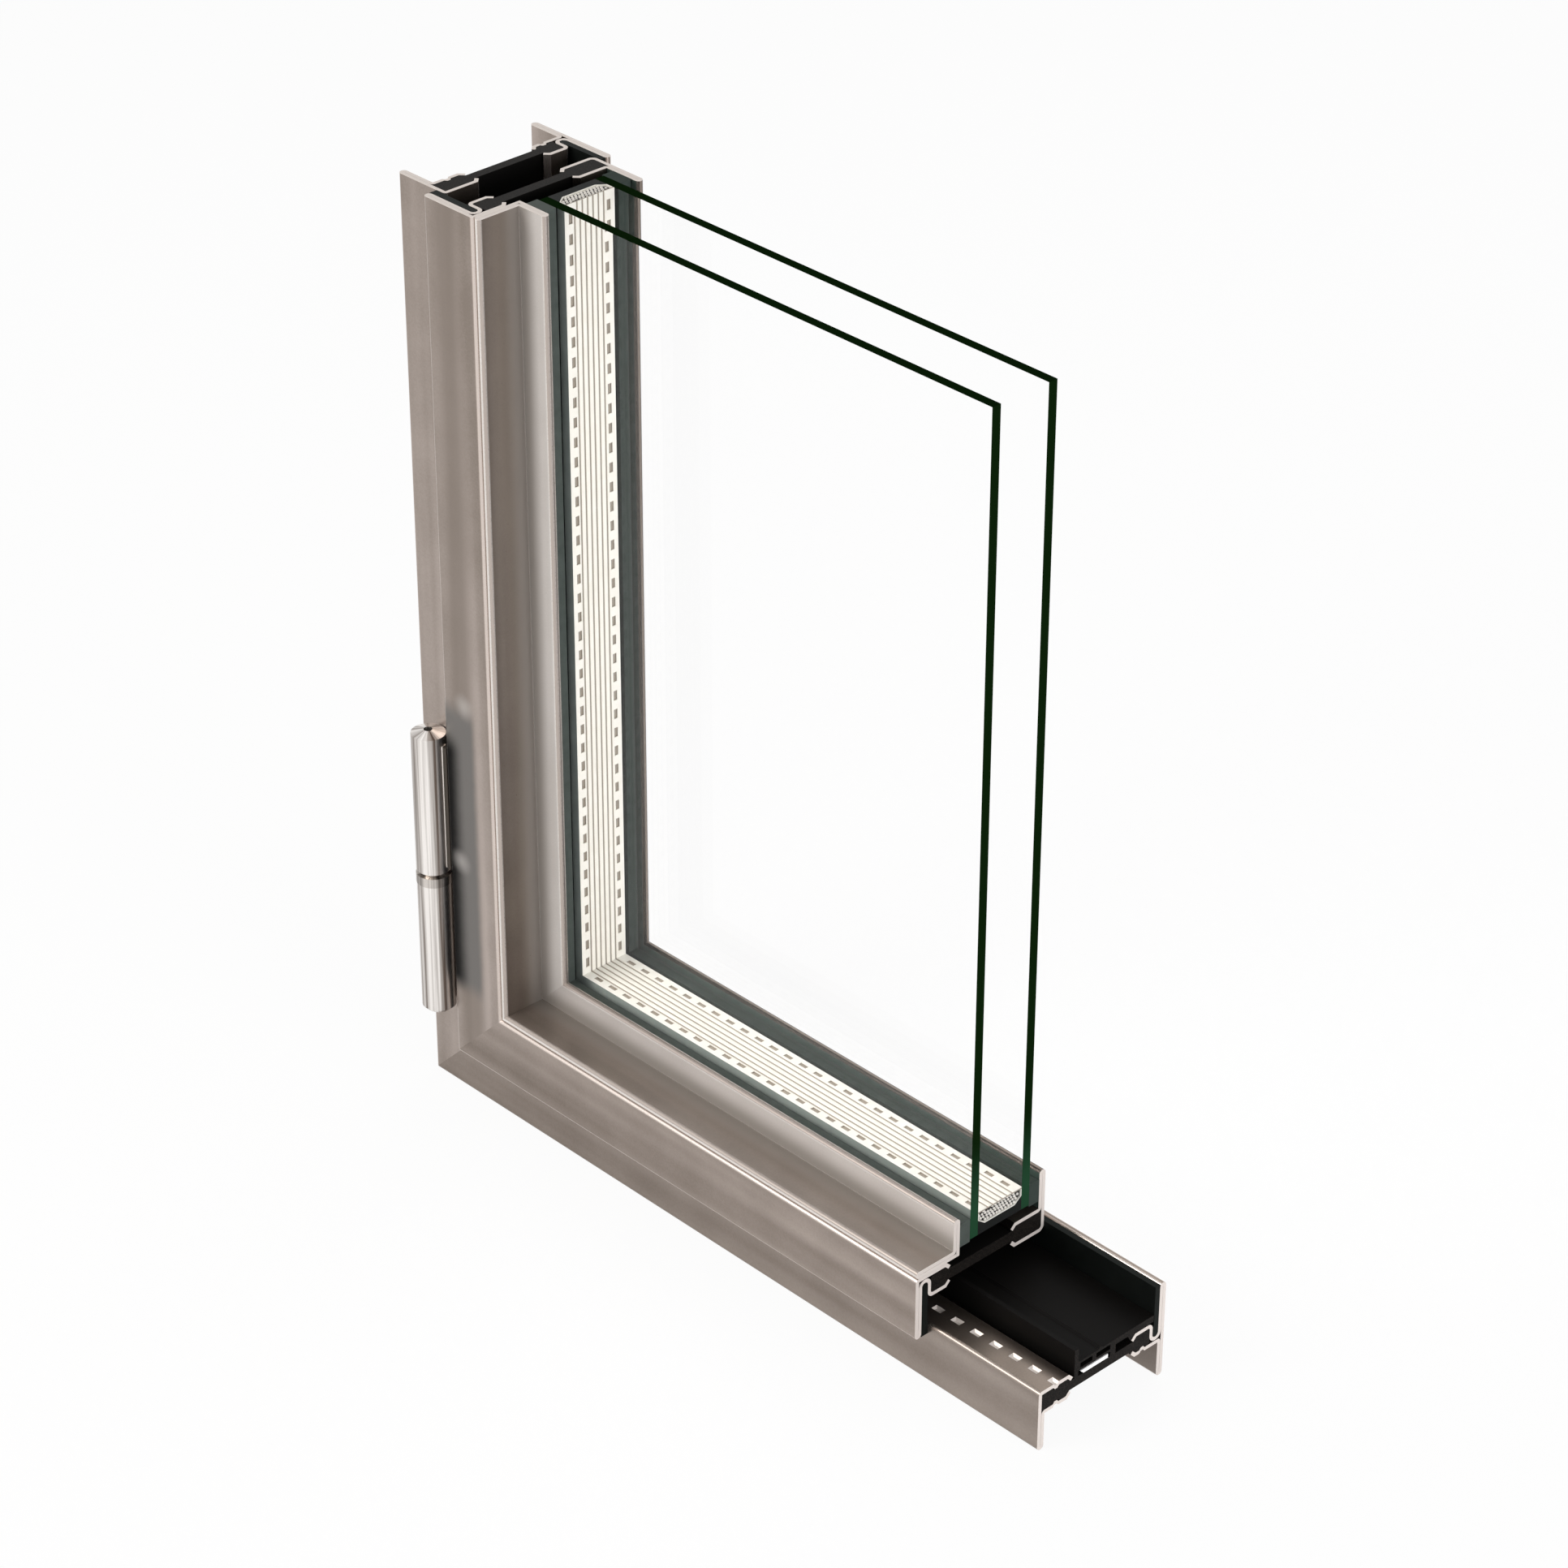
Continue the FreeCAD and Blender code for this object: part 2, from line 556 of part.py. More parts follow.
FRONT_GLAZING_GASKET = (
    ("bead_back + fit", "seal_foot"),
    ("front_pane - fit", "seal_foot"),
    ("front_pane - fit", "seal_rim"),
    ("bead_back + fit + seal_bevel", "seal_rim"),
    ("bead_back + fit", "seal_rim - seal_bevel"),
)
BACK_GLAZING_GASKET = (
    ("glass_back + fit", "seal_foot"),
    ("sash_flange - fit", "seal_foot"),
    ("sash_flange - fit", "seal_rim - seal_bevel"),
    ("sash_flange - fit - seal_bevel", "seal_rim"),
    ("glass_back + fit", "seal_rim"),
)
EDGE_SEALANT = (
    ("gas_front + fit", "glass_edge"),
    ("gas_back - fit", "glass_edge"),
    ("gas_back - fit", "spacer_shoulder - 2 * fit"),
    ("gas_back - spacer_slant", "spacer_foot - fit"),
    ("gas_front + spacer_slant", "spacer_foot - fit"),
    ("gas_front + fit", "spacer_shoulder - 2 * fit"),
)
SPACER = (
    ("gas_front + spacer_slant", "spacer_foot"),
    ("gas_back - spacer_slant", "spacer_foot"),
    ("gas_back - fit", "spacer_shoulder"),
    ("gas_back - fit", "spacer_face"),
    ("gas_front + fit", "spacer_face"),
    ("gas_front + fit", "spacer_shoulder"),
)
SILL_TRAY = (
    ("tray_front", "tray_web"),
    ("tray_front + tray_wall", "tray_web"),
    ("tray_front + tray_wall", "tray_cells"),
    ("tray_cells_end", "tray_cells"),
    ("tray_cells_end", "tray_web"),
    ("tray_foot", "tray_web"),
    ("tray_foot", "frame_inner_leg + 2 * tray_gap"),
    ("frame_back_legs - 2 * lip", "frame_inner_leg + 2 * tray_gap"),
    ("frame_back_legs - lip - tray_gap", "frame_inner_leg - lip + tray_gap / 2"),
    ("frame_back_legs - tray_gap", "frame_inner_leg + tray_gap"),
    ("tray_back", "frame_inner_leg + tray_gap"),
    ("tray_back", "tray_floor"),
    ("tray_cells_end - 4 * tray_ridge", "tray_floor"),
    ("tray_cells_end - 5 * tray_ridge", "tray_floor + tray_ridge"),
    ("tray_cells_end - 6 * tray_ridge", "tray_floor"),
    ("tray_front + tray_wall", "tray_floor"),
    ("tray_front + tray_wall", "tray_rim"),
    ("tray_front", "tray_rim"),
)
WHITE_STRIP = (
    ("strip_front + strip_height", "tray_web"),
    ("strip_front + strip_width", "tray_web"),
    ("strip_front + strip_width", "tray_web + strip_height"),
    ("strip_front", "tray_web + strip_height"),
)


def spacer(run):
    """Makes the hollow spacer between the panes and the drying grains that fill it."""
    sketch = section_sketch(f"spacer_{run}_outline", run)
    outline(sketch, SPACER[0], SPACER[1:], closed=True)
    wall = doc.addObject("Part::Offset2D", f"spacer_{run}_wall")
    wall.Source = sketch
    wall.Join = "Intersection"
    wall.Fill = True
    wall.Value = -worth("spacer_wall")
    bind(wall, "Value", "-1 * spacer_wall")
    fill = doc.addObject("Part::Offset2D", f"desiccant_{run}_outline")
    fill.Source = sketch
    fill.Join = "Intersection"
    fill.Fill = False
    fill.Value = -worth("spacer_wall + fit")
    bind(fill, "Value", "-1 * spacer_wall - fit")
    for name, face in ((f"spacer_{run}", wall), (f"desiccant_{run}", fill)):
        keep_run(name, face, run, "sash_length")


def sill_tray():
    """Makes the black tray on the web of the sill, with its two cells, and the white strip."""
    start = "(frame_inner_leg + tray_gap)"
    sketch = section_sketch("sill_tray_outline", SILL, offset=start)
    outline(sketch, SILL_TRAY[0], SILL_TRAY[1:], closed=True)
    low = "tray_cells + tray_skin"
    high = "tray_floor - tray_skin"
    middle = "(tray_front + tray_wall + tray_cells_end) / 2"
    for left, right in (
        ("tray_front + tray_wall + tray_skin", f"{middle} - tray_skin"),
        (f"{middle} + tray_skin", "tray_cells_end"),
    ):
        outline(sketch, (left, low), ((right, low), (right, high), (left, high)), closed=True)
    keep("sill_tray", run_out("sill_tray", sketch, f"frame_length - {start}", RUN_OUT[SILL]))
    sketch = section_sketch("white_strip_outline", SILL, offset=start)
    outline(sketch, WHITE_STRIP[0], WHITE_STRIP[1:], closed=True)
    keep("insulating_strip", run_out("white_strip", sketch, f"frame_length - {start}", RUN_OUT[SILL]))


def glass(name, face):
    """Makes one pane, cut at the top and at the right like the rest."""
    pane = doc.addObject("Part::Box", name)
    for path, formula in (
        ("Length", "sash_length - glass_edge"),
        ("Width", "pane"),
        ("Height", "frame_height - glass_edge"),
        ("Placement.Base.x", "glass_edge - middle_x"),
        ("Placement.Base.y", f"{face} - middle_y"),
        ("Placement.Base.z", "glass_edge"),
    ):
        bind(pane, path, formula)
    keep(name, pane)


def plane_of(body, role):
    """Finds one of the body's own origin planes."""
    return next(thing for thing in body.Origin.OriginFeatures if thing.Role == role)


def body_sketch(body, role, name):
    """Starts a sketch on one of a body's own planes."""
    sketch = body.newObject("Sketcher::SketchObject", name)
    sketch.AttachmentSupport = [(plane_of(body, role), "")]
    sketch.MapMode = "FlatFace"
    return sketch


def hinge_body(name):
    """Starts a body whose vertical axis is the axis of the hinge."""
    body = doc.addObject("PartDesign::Body", name)
    bind(body, "Placement.Base.x", "hinge_side - middle_x")
    bind(body, "Placement.Base.y", "-1 * hinge_out - middle_y")
    keep(name, body)
    return body


def turned(body, name, points):
    """Turns half a section about the axis of the hinge; a point is (radius, height)."""
    sketch = body_sketch(body, "XZ_Plane", name + "_half_section")
    outline(sketch, points[0], points[1:], closed=True)
    turn = body.newObject("PartDesign::Revolution", name + "_turned")
    turn.Profile = sketch
    turn.ReferenceAxis = (sketch, ["V_Axis"])
    turn.Angle = 360
    sketch.Visibility = False


def leaf(body, name, corners, foot, length):
    """Adds a flat leaf to a barrel, from a rectangle seen from above."""
    sketch = body_sketch(body, "XY_Plane", name + "_outline")
    outline(sketch, corners[0], corners[1:], closed=True)
    bind(sketch, "AttachmentOffset.Base.z", foot)
    pad = body.newObject("PartDesign::Pad", name)
    pad.Profile = sketch
    pad.Length = worth(length)
    bind(pad, "Length", length)


def hinge():
    """Makes the two barrels, the ring between them and the pin."""
    bore = "(pin_radius + pin_play)"
    lower = hinge_body("hinge_lower_barrel")
    turned(lower, "lower", (
        ("0", "hinge_foot"),
        ("hinge_radius - barrel_chamfer", "hinge_foot"),
        ("hinge_radius", "hinge_foot + barrel_chamfer"),
        ("hinge_radius", "hinge_ring"),
        (bore, "hinge_ring"),
        (bore, "hinge_ring - pin_depth - fit"),
        ("0", "hinge_ring - pin_depth - fit"),
    ))
    wall_middle = f"(hinge_radius + {bore}) / 2"
    leaf(lower, "lower_weld_pad", (
        ("-1 * pad_width / 2", wall_middle),
        ("pad_width / 2", wall_middle),
        ("pad_width / 2", "hinge_out - fit"),
        ("-1 * pad_width / 2", "hinge_out - fit"),
    ), "hinge_foot + leaf_end", "lower_barrel - 2 * leaf_end")
    ring = hinge_body("hinge_ring")
    turned(ring, "ring", (
        (bore, "hinge_ring + fit"),
        ("hinge_radius + ring_extra", "hinge_ring + fit"),
        ("hinge_radius + ring_extra", "hinge_upper - fit"),
        (bore, "hinge_upper - fit"),
    ))
    upper = hinge_body("hinge_upper_barrel")
    turned(upper, "upper", (
        (bore, "hinge_upper"),
        ("hinge_radius - barrel_chamfer", "hinge_upper"),
        ("hinge_radius", "hinge_upper + barrel_chamfer"),
        ("hinge_radius", "hinge_top"),
        ("grease_hole", "hinge_top + barrel_crown"),
        ("grease_hole", "hinge_upper + pin_depth + fit"),
        (bore, "hinge_upper + pin_depth + fit"),
    ))
    side = "sash_lap - hinge_side - fit"
    near = "hinge_out - sash_step + hem_radius - leaf / 2"
    far = "hinge_out - sash_step + hem_radius + leaf / 2"
    leaf(upper, "upper_leaf", (
        (wall_middle, near),
        (side, near),
        (side, far),
        (wall_middle, far),
    ), "hinge_upper + leaf_end", "upper_barrel - 2 * leaf_end")
    pin = hinge_body("hinge_pin")
    turned(pin, "pin", (
        ("0", "hinge_ring - pin_depth"),
        ("pin_radius", "hinge_ring - pin_depth"),
        ("pin_radius", "hinge_upper + pin_depth"),
        ("0", "hinge_upper + pin_depth"),
    ))


def check_and_export():
    """Stops at a failed object or piece, then writes every piece to its own file."""
    doc.recompute()
    for thing in doc.Objects:
        bad = [word for word in thing.State if word in ("Invalid", "Error")]
        if bad:
            raise RuntimeError(f"{thing.Label} is {bad}")
    os.makedirs("parts", exist_ok=True)
    for piece in pieces:
        shape = piece.Shape
        if shape.isNull() or not shape.isValid() or len(shape.Solids) < 1:
            raise RuntimeError(f"{piece.Label} has no valid solid")
        shape.exportStep(f"parts/{piece.Label}.step")
    print(len(pieces), "pieces written")


doc = FreeCAD.newDocument("window_corner")
sheet = doc.addObject("Spreadsheet::Sheet", "Sizes")
start_sheet()
pieces = []
mitres = {run: mitre_tool(run) for run in (JAMB, SILL)}
sawn_ends = {run: joined(f"sawn_ends_{run}", [mitres[run], saw_tool(run)]) for run in (JAMB, SILL)}
stamp = dimple_stamp()
for run in (JAMB, SILL):
    folded("frame_front_shell", *FRAME_FRONT_SHELL, run, "frame_length", FRONT_ROWS[run])
    folded("frame_back_shell", *FRAME_BACK_SHELL, run, "frame_length", (BACK_OUTER_ROW,))
    folded("sash_front_shell", *SASH_FRONT_SHELL, run, "sash_length")
    folded("sash_back_shell", *SASH_BACK_SHELL, run, "sash_length")
    folded("glazing_bead", *GLAZING_BEAD, run, "sash_length")
    solid_bar("frame_thermal_bar", FRAME_BAR[run], run, "frame_length")
    solid_bar("sash_thermal_bar", SASH_BAR, run, "sash_length")
    solid_bar("frame_gasket", FRAME_GASKET, run, "frame_length")
    solid_bar("sash_gasket", SASH_GASKET, run, "sash_length")
    solid_bar("front_glazing_gasket", FRONT_GLAZING_GASKET, run, "sash_length")
    solid_bar("back_glazing_gasket", BACK_GLAZING_GASKET, run, "sash_length")
    solid_bar("edge_sealant", EDGE_SEALANT, run, "sash_length")
    spacer(run)
sill_tray()
glass("glass_pane_front", "front_pane")
glass("glass_pane_back", "gas_back")
hinge()
check_and_export()
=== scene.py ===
"""Dresses the corner sample of a thermally broken steel window.

The frame, the sash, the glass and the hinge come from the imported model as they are, and get the
finish of the real ones: satin folded steel with paler sheared ends, black glass-filled polyamide,
rubber, float glass with dark green edges and a turned hinge. The warm-edge spacer and the drying
beads in it are made here, because their grooves, slots and beads are finer than the model's.
"""
import logging
import math
import random
from dataclasses import dataclass, field
from enum import Enum
from typing import Iterable, Sequence

import bmesh
import bpy
from mathutils import Matrix, Vector


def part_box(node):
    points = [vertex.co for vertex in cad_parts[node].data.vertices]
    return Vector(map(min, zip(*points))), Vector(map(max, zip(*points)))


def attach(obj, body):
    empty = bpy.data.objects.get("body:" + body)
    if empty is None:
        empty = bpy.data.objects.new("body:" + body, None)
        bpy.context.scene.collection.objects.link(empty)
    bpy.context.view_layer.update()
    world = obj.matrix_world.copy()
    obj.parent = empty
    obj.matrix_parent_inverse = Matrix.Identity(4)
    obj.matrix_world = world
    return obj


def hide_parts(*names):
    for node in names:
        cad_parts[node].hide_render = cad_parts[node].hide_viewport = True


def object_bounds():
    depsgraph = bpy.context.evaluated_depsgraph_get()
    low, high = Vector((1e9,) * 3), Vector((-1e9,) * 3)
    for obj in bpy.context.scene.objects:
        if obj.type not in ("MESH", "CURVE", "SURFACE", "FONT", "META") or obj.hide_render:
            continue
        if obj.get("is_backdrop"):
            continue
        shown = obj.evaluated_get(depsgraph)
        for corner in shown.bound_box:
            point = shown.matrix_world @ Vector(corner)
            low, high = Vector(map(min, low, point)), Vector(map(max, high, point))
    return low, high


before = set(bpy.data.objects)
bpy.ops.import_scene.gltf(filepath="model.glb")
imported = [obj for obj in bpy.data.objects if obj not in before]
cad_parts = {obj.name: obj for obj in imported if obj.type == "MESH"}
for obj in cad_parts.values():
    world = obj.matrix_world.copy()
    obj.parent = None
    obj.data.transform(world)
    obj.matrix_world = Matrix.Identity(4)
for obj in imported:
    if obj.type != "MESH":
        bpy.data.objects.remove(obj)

LOG = logging.getLogger("window_corner")
BODY = "root"
MILLIMETRE = 0.001
CUT_DEPTH = 0.12
"""How far in from a sawn end its bare face still shows, in millimetres."""

Tree = bpy.types.NodeTree
Socket = bpy.types.NodeSocket
Value = Socket | float
Colour = Socket | tuple[float, float, float, float]


class Run(Enum):
    """The two lengths of profile that meet in the mitred corner."""

    JAMB = "jamb"
    SILL = "sill"

    @property
    def along(self) -> str:
        """The world axis that the profile runs along."""
        return "Z" if self is Run.JAMB else "X"

    @property
    def across(self) -> str:
        """The world axis that the profile rises along, from the frame's edge to the glass."""
        return "X" if self is Run.JAMB else "Z"


def metres(length: float) -> float:
    """Turns millimetres into metres."""
    return length * MILLIMETRE


def linear(hex_colour: str) -> tuple[float, float, float, float]:
    """Turns an sRGB hex colour into linear light.

    Args:
        hex_colour: six hex digits, with or without a leading hash.

    Returns:
        Red, green, blue and an alpha of 1.
    """
    digits = hex_colour.lstrip("#")
    channels = [int(digits[i:i + 2], 16) / 255 for i in (0, 2, 4)]
    light = [c / 12.92 if c <= 0.04045 else ((c + 0.055) / 1.055) ** 2.4 for c in channels]
    return (*light, 1.0)


def towards(azimuth: float, elevation: float) -> Vector:
    """Gives the direction out to a place; azimuth 0 is in front of the window and 90 at its right."""
    turn, tilt = math.radians(azimuth), math.radians(elevation)
    return Vector((math.sin(turn) * math.cos(tilt), -math.cos(turn) * math.cos(tilt), math.sin(tilt)))


def add_node(tree: Tree, kind: str, inputs: dict | None = None, **settings) -> bpy.types.Node:
    """Adds one shader node with its settings and links.

    Args:
        tree: the node tree that gets it.
        kind: Blender's name of the node type.
        inputs: input name or number to a plain value, or to the socket that feeds it.
        settings: attributes of the node itself.

    Returns:
        The new node.
    """
    node = tree.nodes.new(kind)
    for name, value in settings.items():
        setattr(node, name, value)
    for name, value in (inputs or {}).items():
        if isinstance(value, Socket):
            tree.links.new(value, node.inputs[name])
        else:
            node.inputs[name].default_value = value
    return node


def new_material(name: str) -> tuple[bpy.types.Material, Tree]:
    """Makes an empty node material and gives it with its tree."""
    material = bpy.data.materials.new(name)
    material.use_nodes = True
    material.node_tree.nodes.clear()
    return material, material.node_tree


def show(tree: Tree, shader: bpy.types.Node) -> None:
    """Makes a shader the surface of its material."""
    add_node(tree, "ShaderNodeOutputMaterial", {"Surface": shader.outputs[0]})


def maths(tree: Tree, operation: str, *values: Value) -> Socket:
    """Works out one sum on numbers."""
    return add_node(tree, "ShaderNodeMath", dict(enumerate(values)), operation=operation).outputs[0]


def vector_maths(tree: Tree, operation: str, *values: Socket | Sequence, output: str = "Vector") -> Socket:
    """Works out one sum on vectors; the output is Value where the result is a number."""
    node = add_node(tree, "ShaderNodeVectorMath", dict(enumerate(values)), operation=operation)
    return node.outputs[output]


def product(tree: Tree, *factors: Value) -> Socket:
    """Multiplies masks."""
    result = factors[0]
    for factor in factors[1:]:
        result = maths(tree, "MULTIPLY", result, factor)
    return result


def parts_of(tree: Tree, vector: Socket) -> bpy.types.NodeOutputs:
    """Splits a vector into X, Y and Z."""
    return add_node(tree, "ShaderNodeSeparateXYZ", {0: vector}).outputs


def fade(tree: Tree, source: Socket, start: float, end: float, step: str = "SMOOTHSTEP") -> Socket:
    """Gives 0 before the start of a range and 1 past its end, with a soft step between.

    Args:
        tree: the node tree.
        source: the value to read.
        start: where the step begins. It may lie above the end.
        end: where the step is done.
        step: the step's form. LINEAR makes it straight.

    Returns:
        The step's socket.
    """
    reach = {"Value": source, "From Min": start, "From Max": end}
    return add_node(tree, "ShaderNodeMapRange", reach, interpolation_type=step).outputs[0]


def spread(tree: Tree, source: Socket, low: float, high: float) -> Socket:
    """Spreads a value from 0 to 1 over another range, given by what 0 and 1 become."""
    return add_node(tree, "ShaderNodeMapRange", {"Value": source, "To Min": low, "To Max": high}).outputs[0]


def between(tree: Tree, share: Value, first: Value, second: Value) -> Socket:
    """Mixes two numbers; a share of 0 gives the first and 1 the second."""
    return add_node(tree, "ShaderNodeMix", {0: share, 2: first, 3: second}).outputs[0]


def layered(tree: Tree, share: Value, under: Colour, over: Colour) -> Socket:
    """Mixes two colours; a share of 0 gives the one under and 1 the one over it."""
    return add_node(tree, "ShaderNodeMix", {0: share, 6: under, 7: over}, data_type="RGBA").outputs[2]


def mixed(tree: Tree, share: Value, first: str, second: str) -> Socket:
    """Mixes two hex colours; a share of 0 gives the first and 1 the second."""
    return layered(tree, share, linear(first), linear(second))


def painted(tree: Tree, mask: Value, under: Colour, hex_colour: str) -> Socket:
    """Lays one hex colour over another colour where a mask is 1."""
    return layered(tree, mask, under, linear(hex_colour))


def per_metre(pattern: float) -> float:
    """Scale of a noise or cell texture whose features are this many millimetres wide."""
    return 1 / metres(pattern)


def noise(
    tree: Tree, place: Socket, width: float, detail: float = 2.0, roughness: float = 0.5, output: str = "Fac"
) -> Socket:
    """Adds soft noise from 0 to 1.

    Args:
        tree: the node tree.
        place: where the noise is read.
        width: millimetres across one of its patches.
        detail: how many finer layers it has.
        roughness: how strong the finer layers are.
        output: Fac for a number, Color for three.

    Returns:
        The noise's socket.
    """
    inputs = {"Vector": place, "Scale": per_metre(width), "Detail": detail, "Roughness": roughness}
    return add_node(tree, "ShaderNodeTexNoise", inputs).outputs[output]


def bumped(tree: Tree, height: Socket, relief: tuple[float, float], under: Socket | None = None) -> Socket:
    """Turns a pattern into relief.

    Args:
        tree: the node tree.
        height: the pattern.
        relief: the depth in millimetres, and the strength.
        under: the normal that it lies on, where it isn't the surface's own.

    Returns:
        The normal.
    """
    depth, strength = relief
    inputs = {"Height": height, "Distance": metres(depth), "Strength": strength}
    if under is not None:
        inputs["Normal"] = under
    return add_node(tree, "ShaderNodeBump", inputs).outputs[0]


def sawn_end(tree: Tree, place: Socket, run: Run, cut: float) -> Socket:
    """1 on the sawn end of a profile, which lies at the cut, and 0 along it."""
    return maths(tree, "GREATER_THAN", parts_of(tree, place)[run.along], cut - metres(CUT_DEPTH))


@dataclass(frozen=True)
class SheetTone:
    """How one profile's sheet is coloured: painted light on its faces, painted shade on its sides
    and a painted highlight on the outside of its bends.

    The roots are its faces and its sides near the root of a fold, with painted shade there. On the
    sash's back shell the bends get painted shade instead, and the side that faces the glass gets a
    dark green-grey painted shade.
    """

    # Painted light on the faces that look to the front or to the back
    lit_face: tuple[str, str]
    # Painted shade on the sides between those faces
    skin: tuple[str, str] = ("#766A61", "#95897F")
    # Painted highlight on the outside of the bends, and painted shade there on the sash's back shell
    bend: str = "#DCD0C8"
    metallic: float = 0.92
    sheen: float = 0.5
    # Painted shade near the root of a fold, on the faces and on the sides
    root_shade_on_face: str = "#B0AAA4"
    root_shade_on_side: str = "#8F8881"
    # Painted shade in dark green-grey on the side that faces the glass, rough and barely metallic
    glass_side_shade: str | None = None
    glass_side_roughness: float = 0.8
    glass_side_sheen: float = 0.05
    glass_side_facing: float = -0.9


@dataclass(frozen=True)
class HingeShade:
    """Painted shade and dark reflection of the hinge on the flange beside it.

    The painted shade is near black at the edge of the flange and fades to a mid grey away from it.
    The grinding of the welds' ends leaves a paler scuff above each of them.
    """

    edge: float
    low: float
    deep_shade_high: float
    soft_shade_high: float
    scuffs: tuple[tuple[float, float], ...]
    # Painted shade and dark reflection of the hinge: deep at the flange's edge, softer further in
    deep_shade: str = "#0B0A09"
    soft_shade: str = "#787572"
    ground: str = "#C9C4C0"
    deep_shade_reach: tuple[float, float] = (2.5, 11.0)
    soft_shade_reach: tuple[float, float] = (14.5, 19.0)
    end_fade: float = 10.0
    scuff_radius: float = 7.0
    scuff_share: float = 0.5
    patch: float = 5.0
    wander: float = 1.0

    def over(self, tree: Tree, place: Socket, colour: Socket) -> Socket:
        """Lays the painted shade and the scuffs over the colour of the sheet."""
        centred = vector_maths(tree, "SUBTRACT", noise(tree, place, self.patch, output="Color"), (0.5,) * 3)
        moved = vector_maths(tree, "MULTIPLY_ADD", centred, (metres(self.wander),) * 3, place)
        parts = parts_of(tree, moved)
        end = metres(self.end_fade)
        # The two bands of painted shade and dark reflection of the hinge
        for shade_colour, (near, far), high in (
            (self.soft_shade, self.soft_shade_reach, self.soft_shade_high), (self.deep_shade, self.deep_shade_reach, self.deep_shade_high)
        ):
            close = fade(tree, parts["X"], self.edge + metres(far), self.edge + metres(near))
            above = fade(tree, parts["Z"], self.low, self.low + end)
            below = fade(tree, parts["Z"], high, high - end)
            colour = painted(tree, product(tree, close, above, below), colour, shade_colour)
        level = vector_maths(tree, "MULTIPLY", moved, (1.0, 0.0, 1.0))
        for across, rise in self.scuffs:
            away = vector_maths(tree, "DISTANCE", level, (across, 0.0, rise), output="Value")
            near = fade(tree, away, metres(self.scuff_radius), 0.0)
            colour = painted(tree, spread(tree, near, 0.0, self.scuff_share), colour, self.ground)
        return colour


